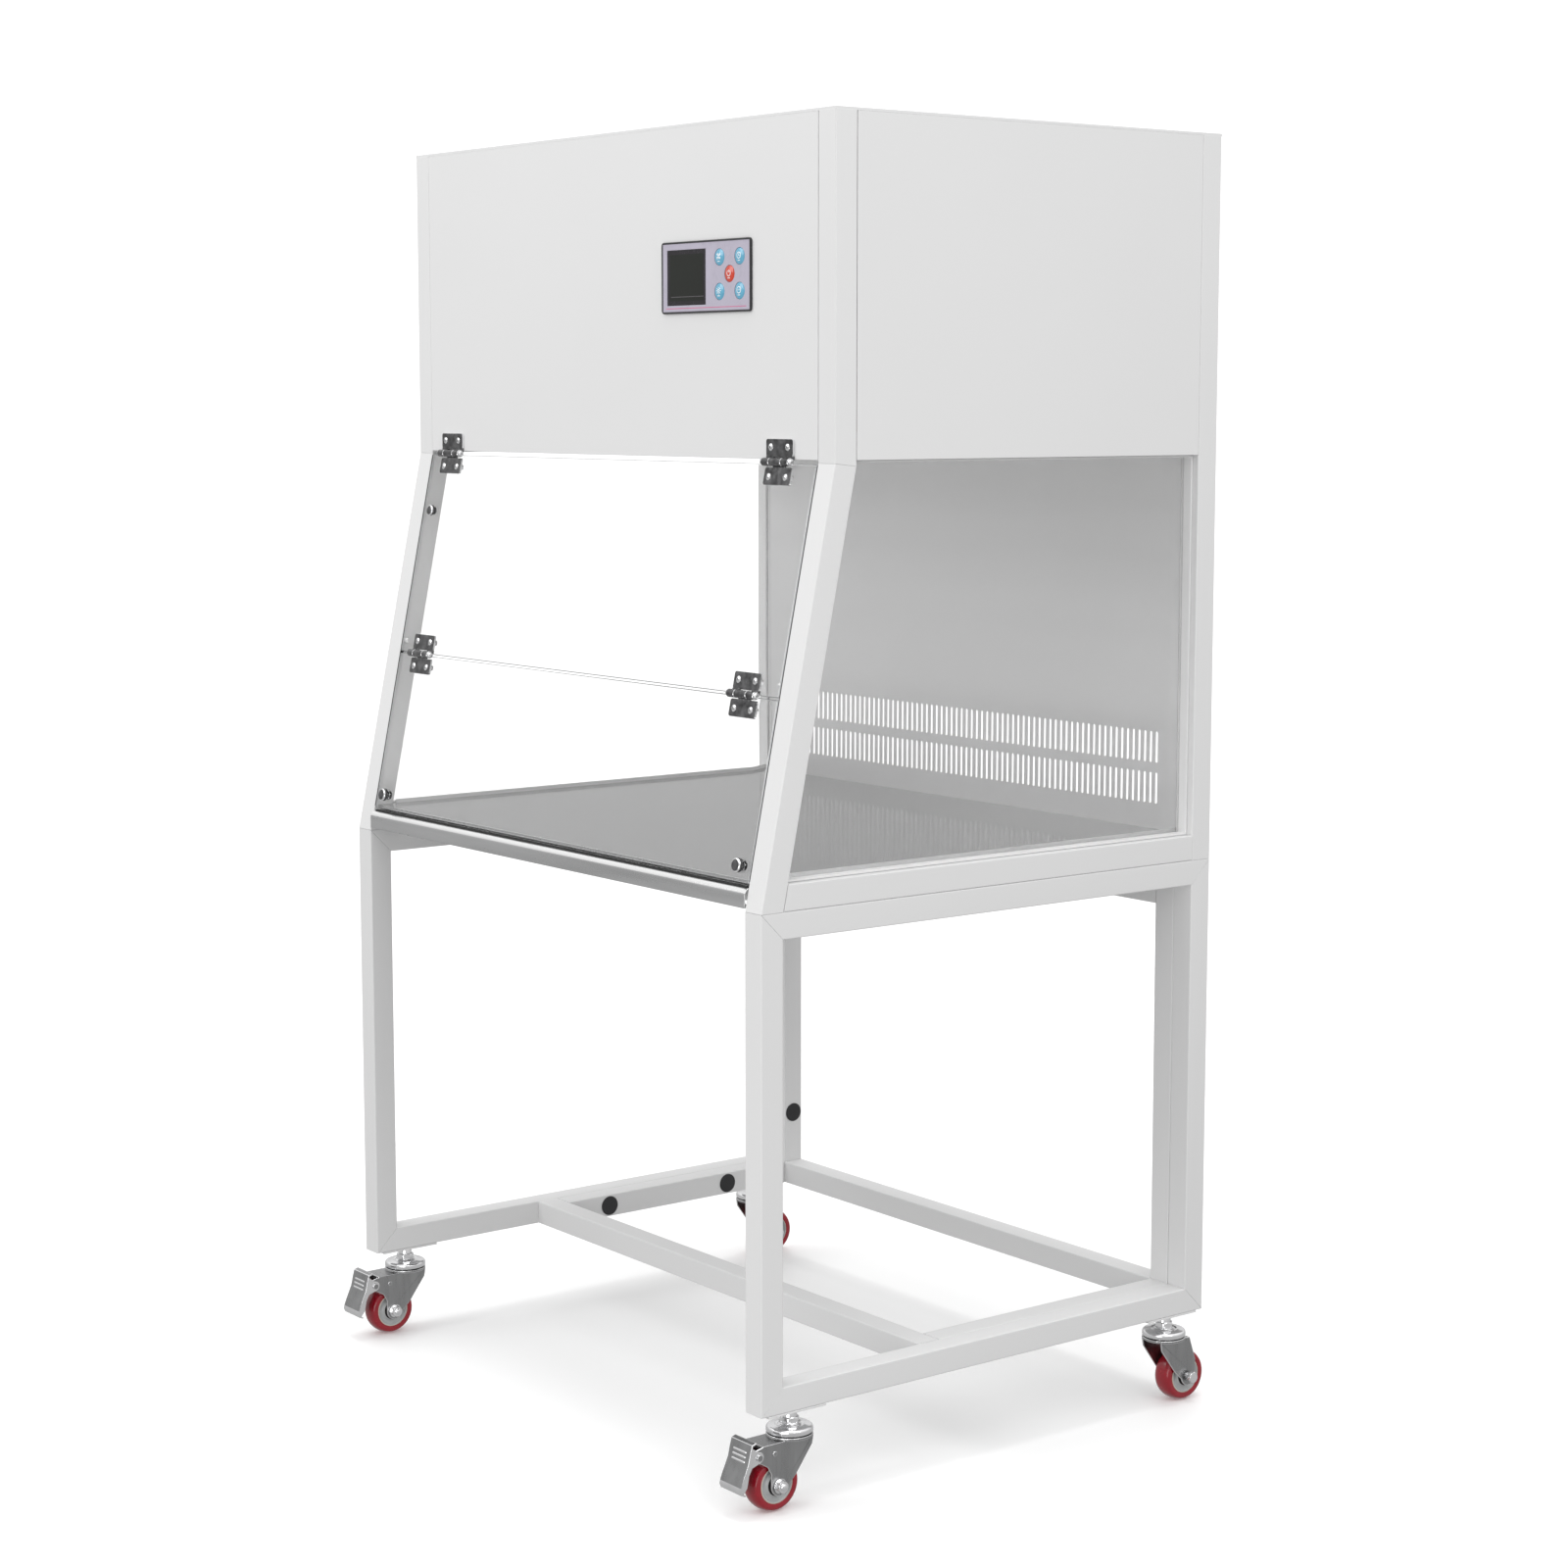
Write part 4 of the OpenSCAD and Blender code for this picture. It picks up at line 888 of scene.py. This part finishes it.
def caster_fork(corner):
    """Pressed fork, with its axle bolt: head on one side, nut and a short thread on the other."""
    node = f"fork_{corner}"
    bm = cad_mesh(node)
    smallest_plate = 20 * MM
    for group in islands(bm):
        if span(group, Z) < smallest_plate:
            bmesh.ops.delete(bm, geom=group, context="VERTS")
    pull_in_back(bm, corner)
    # the rounded edges in bright zinc: a painted highlight
    round_edges(bm, [e for e in bm.edges if is_sharp(e, 40) and e.is_convex], 0.7 * MM, 3, 1)
    plates = set(bm.faces)

    low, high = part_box(node)
    wheel_low, wheel_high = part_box(f"tyre_{corner}")
    axle = (wheel_low + wheel_high) / 2
    way = X if corner[0] == "f" else -X
    near, far = sorted((way.x * (low.x - axle.x), way.x * (high.x - axle.x)))
    flats = 13 * MM
    hexagon(axle, way, flats, near, near + 5.2 * MM, bm)
    profile = [(0, near + 1 * MM), (4 * MM, near + 1 * MM), (4 * MM, far - 1.2 * MM), (3 * MM, far),
               (0, far)]
    turned(profile, axle, way, 32, bm)
    hexagon(axle, way, flats, far - 8.8 * MM, far - 2.2 * MM, bm)
    washer = [(4 * MM, far - 9 * MM), (8.4 * MM, far - 9 * MM), (8.4 * MM, far - 8.6 * MM),
              (4 * MM, far - 8.6 * MM)]
    turned(washer, axle, way, 40, bm)
    # axle bolt, nuts and washer in bright zinc: a painted highlight
    paint(bm, 1, but=plates)
    stand_for(node, bm)


def pull_in_back(bm, corner):
    """Draws the back edge of the fork's cheeks in under the race and rounds its top corner."""
    axis = swivel_top(corner)
    back = Y if corner[0] == "f" else -Y
    reach, limit = 20 * MM, 20.5 * MM
    for vert in bm.verts:
        behind = (vert.co - axis).dot(back)
        if behind > reach and abs(vert.co.x - axis.x) > 14 * MM:
            vert.co.y = axis.y + back.y * limit
    corners = [e for e in bm.edges if abs(e.verts[0].co.x - e.verts[1].co.x) > 1.5 * MM
               and all((v.co - axis).dot(back) > reach for v in e.verts) and is_sharp(e)]
    round_edges(bm, corners, 2.5 * MM, 4)


def caster_wheel(corner):
    """Crowned tyre on a dished hub with a bearing seal and bush in its middle."""
    low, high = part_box(f"tyre_{corner}")
    centre = (low + high) / 2
    radius, half = (high.z - low.z) / 2, (high.x - low.x) / 2
    inner, shoulder = 22 * MM, 26.2 * MM
    profile = [(inner, -half + 1 * MM), (inner + 0.6 * MM, -half + 0.4 * MM), (shoulder, -half)]
    steps, crown = 12, 2.9 * MM
    for i in range(steps + 1):
        across = -1 + 2 * i / steps
        profile.append((radius - crown * abs(across) ** 2.6, across * (half - 0.9 * MM)))
    profile += [(shoulder, half), (inner + 0.6 * MM, half - 0.4 * MM), (inner, half - 1 * MM)]
    stand_for(f"tyre_{corner}", closed_ring(profile, centre))

    low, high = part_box(f"hub_{corner}")
    half = (high.x - low.x) / 2 / MM
    side = 11.3
    bush, seal, rim = 7.1 * MM, 12.7 * MM, 20.2 * MM
    profile = in_mm((4.1, -half), (7, -half), (7, -side - 1.2), (8, -side - 0.9),
                    (12.6, -side - 0.9), (13.2, -side - 0.3), (14.4, -side + 1.6),
                    (15.4, -side + 2), (18.6, -side + 1.4), (19.6, -side), (20.8, -side - 0.5),
                    (21.9, -side))
    profile += [(r, -along) for r, along in reversed(profile)]
    bm = closed_ring(profile, centre)
    for face in bm.faces:
        offset = face.calc_center_median() - centre
        distance = math.hypot(offset.y, offset.z)
        # the bush in dark chrome: a painted dark reflection
        if distance < bush:
            face.material_index = 3
        elif distance < seal:
            face.material_index = 2
        elif distance > rim:
            face.material_index = 1
    stand_for(f"hub_{corner}", bm, [HUB_GREY, HUB_RIM, RUBBER, CHROME_DARK_REFLECTION])


def closed_ring(profile, centre, segments=72):
    """A ring turned round the X axis from a closed profile."""
    bm = bmesh.new()
    rings = []
    for radius, along in profile:
        ring = []
        for i in range(segments):
            turn = 2 * math.pi * i / segments
            offset = Vector((along, radius * math.cos(turn), radius * math.sin(turn)))
            ring.append(bm.verts.new(centre + offset))
        rings.append(ring)
    bridge(bm, rings, closed=True)
    bmesh.ops.recalc_face_normals(bm, faces=bm.faces)
    return bm


def brake_pedal(corner):
    """Stamped pedal with three ribs across its upper front. Its cheeks, edges, ribs and toe are painted bright: a
    painted highlight.

    The short edges where the cheeks meet the toe stay sharp: a bevel leaves gaps there.
    """
    node = f"pedal_{corner}"
    bm = cad_mesh(node)
    low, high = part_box(node)
    toe, joint, bend = low.z + 9 * MM, low.z + 13 * MM, low.z + 40 * MM
    # cheeks and toe in bright zinc: a painted highlight
    paint(bm, 1, lambda face: abs(face.normal.x) > 0.9 or face.calc_center_median().z < toe)

    def is_wide(edge):
        return abs(edge.verts[0].co.x - edge.verts[1].co.x) > 20 * MM

    round_edges(bm, [e for e in bm.edges if is_sharp(e, 4) and not is_sharp(e, 40)
                     and is_wide(e) and e.verts[0].co.z > bend], 3 * MM, 4)
    # the rounded edges in bright zinc: a painted highlight
    round_edges(bm, [e for e in bm.edges if is_sharp(e, 50) and e.is_convex
                     and (is_wide(e) or min(v.co.z for v in e.verts) > joint)], 0.6 * MM, 3, 1)
    source = frame["nodes"][node].data
    sheet = BVHTree.FromPolygons([v.co for v in source.vertices],
                                 [p.vertices for p in source.polygons])
    first_rib, pitch = 11.5 * MM, 5.2 * MM
    half = (high.x - low.x) / 2
    for step in range(3):
        start = Vector((low.x + half, low.y - 50 * MM, high.z - first_rib - pitch * step))
        hit, normal, _, _ = sheet.ray_cast(start, Y)
        rib(bm, hit, normal, half * 0.62)
    stand_for(node, bm)


def rib(bm, centre, normal, half, radius=1.3 * MM):
    """A pressed rib along X: half round with rounded ends, sunk a little into the sheet."""
    out = normal if normal.y < 0 else -normal
    up = X.cross(out).normalized()
    steps, flatness, sunk = 6, 0.7, 0.05 * MM
    loops = []
    for along, size in ((-1, 0.25), (-0.94, 1), (0.94, 1), (1, 0.25)):
        loop = []
        for i in range(steps + 1):
            turn = math.pi * i / steps
            point = centre + X * along * half + up * math.cos(turn) * radius * size
            loop.append(point + out * (math.sin(turn) * radius * size * flatness - sunk))
        loops.append(loop)
    # the rib in bright zinc: a painted highlight
    skin(bm, loops, 1)


def casters():
    """All four casters. Only the front two have a brake pedal."""
    caster_tops()
    for corner in CASTERS:
        caster_seal(corner)
        caster_fork(corner)
        caster_wheel(corner)
    for corner in BRAKED:
        brake_pedal(corner)


# ---------- small parts ----------

def plugs():
    """Domed caps over the bolt holes of the link frame."""
    source = cad_mesh("stand_plugs")
    bm = bmesh.new()
    for group in islands(source):
        on_left = sum(v.co.x for v in group) < 0
        centre, normal, _ = cap_of(group, X if on_left else -X)
        radius = span(group, Z) / 2
        length = span(group, X)
        profile = [(radius * t, -0.9 * MM * t * t) for t in (0, 0.3, 0.55, 0.75, 0.88, 0.96)]
        profile += [(radius, -1.3 * MM), (radius, -1.9 * MM), (9.5 * MM, -1.9 * MM),
                    (9.2 * MM, -length), (0, -length)]
        turned(profile, centre, normal, 48, bm)
    source.free()
    stand_for("stand_plugs", bm)


def plain_nodes():
    """CAD nodes whose shape is right as it is: they only get their finish."""
    for name, made in frame["nodes"].items():
        if not made.hide_render:
            made.data.materials.clear()
            made.data.materials.append(SLOT_LOOK[SLOT_OF[name]])


# ---------- stage ----------

def pale_floor(level):
    """A disc that takes shadows, but lights nothing and isn't mirrored in the steel."""
    radius, corners = 2.3, 96
    mesh = bpy.data.meshes.new("floor")
    rim = ring_points(0, 0, radius, steps=corners)[:-1]
    mesh.from_pydata([(x, y, level) for x, y in rim], [], [range(corners)])
    mesh.materials.append(surface("floor_pale", (0.9, 0.9, 0.9), (0.5, 0.6), vary=0.004, patch=1.0,
                                  Emission_Color=(1, 1, 1, 1), Emission_Strength=0.12))
    floor = show("floor", mesh)
    floor.visible_diffuse = False
    floor.visible_glossy = False


def soft_lamp(name, place, aim, size, power):
    """A square lamp at place that faces aim, in metres and watts."""
    lamp = bpy.data.lights.new(name, "AREA")
    lamp.shape = "SQUARE"
    lamp.size = size
    lamp.energy = power
    made = show(name, lamp)
    made.location = place
    made.rotation_euler = (aim - place).to_track_quat("-Z", "Y").to_euler()


def overhead(name, spread, strength):
    """Light from straight above, spread over so many degrees."""
    sun = bpy.data.lights.new(name, "SUN")
    sun.energy = strength
    sun.angle = math.radians(spread)
    show(name, sun)


def backdrop():
    """White seen straight or through the panes; a graded studio in reflections and as light."""
    world = bpy.data.worlds.new("studio")
    world.use_nodes = True
    bpy.context.scene.world = world
    tree = world.node_tree
    path = add(tree, "LightPath").outputs
    bounced = calculate(tree, "ADD", path["Diffuse Depth"], path["Glossy Depth"], clamp=True)
    height = add(tree, "SeparateXYZ", Vector=add(tree, "TexCoord").outputs["Generated"]).outputs["Z"]
    below = between(tree, height, 0.42, 0.54, -1.0, 0.0)
    above = between(tree, height, 0.0, 0.70, 0.0, 1.0)
    level = add(tree, "Mix", {"data_type": "FLOAT"})
    fill(tree, level.inputs[MIX_FACTOR], bounced)
    fill(tree, level.inputs[MIX_FIRST_NUMBER], 1.25)
    fill(tree, level.inputs[MIX_FIRST_NUMBER + 1], calculate(tree, "ADD", below, above))
    background = tree.nodes["Background"]
    fill(tree, background.inputs["Strength"], level.outputs[MIX_NUMBER])
    fill(tree, background.inputs["Color"], (1, 1, 1, 1))


def photo_camera(centre):
    """The photo's viewpoint, as solved from the frame's corners."""
    heading, tilt, distance = math.radians(52.41), math.radians(7.132), 3.832
    aim = centre + Vector((0.017, 0.022, -0.019))
    look = Vector((-math.sin(heading) * math.cos(tilt), math.cos(heading) * math.cos(tilt),
                   -math.sin(tilt)))
    lens = bpy.data.cameras.new("camera")
    lens.lens = 70.8
    lens.sensor_width = 36
    camera = show("camera", lens)
    camera.location = aim - look * distance
    camera.rotation_euler = (math.pi / 2 - tilt, 0, heading)
    bpy.context.scene.camera = camera


def stage():
    """Floor, lamps, backdrop and camera."""
    low, high = (Vector(corner) for corner in CAD_BOX)
    centre = (low + high) / 2
    top = Vector((centre.x, centre.y, high.z))
    pale_floor(low.z)
    soft_lamp("front_key", top + Vector((-0.9, -2.0, 0.8)), top, 1.4, 16)
    soft_lamp("front_low", centre + Vector((1.3, -2.0, -0.5)), centre - Z * 0.3, 1.2, 11)
    soft_lamp("right_fill", top + Vector((2.2, -0.1, 0.5)), top, 1.4, 11)
    overhead("overhead", 17, 0.6)
    backdrop()
    photo_camera(centre)
    bpy.context.scene.view_settings.view_transform = "Standard"


frames()
panels()
for sash in ("sash_upper", "sash_lower"):
    sash_panel(sash)
for leaves in ("hinge_frame", "hinge_upper", "hinge_lower"):
    hinge(leaves)
knob("knobs")
knob("catch_stud")
control_panel()
casters()
plugs()
plain_nodes()
stage()
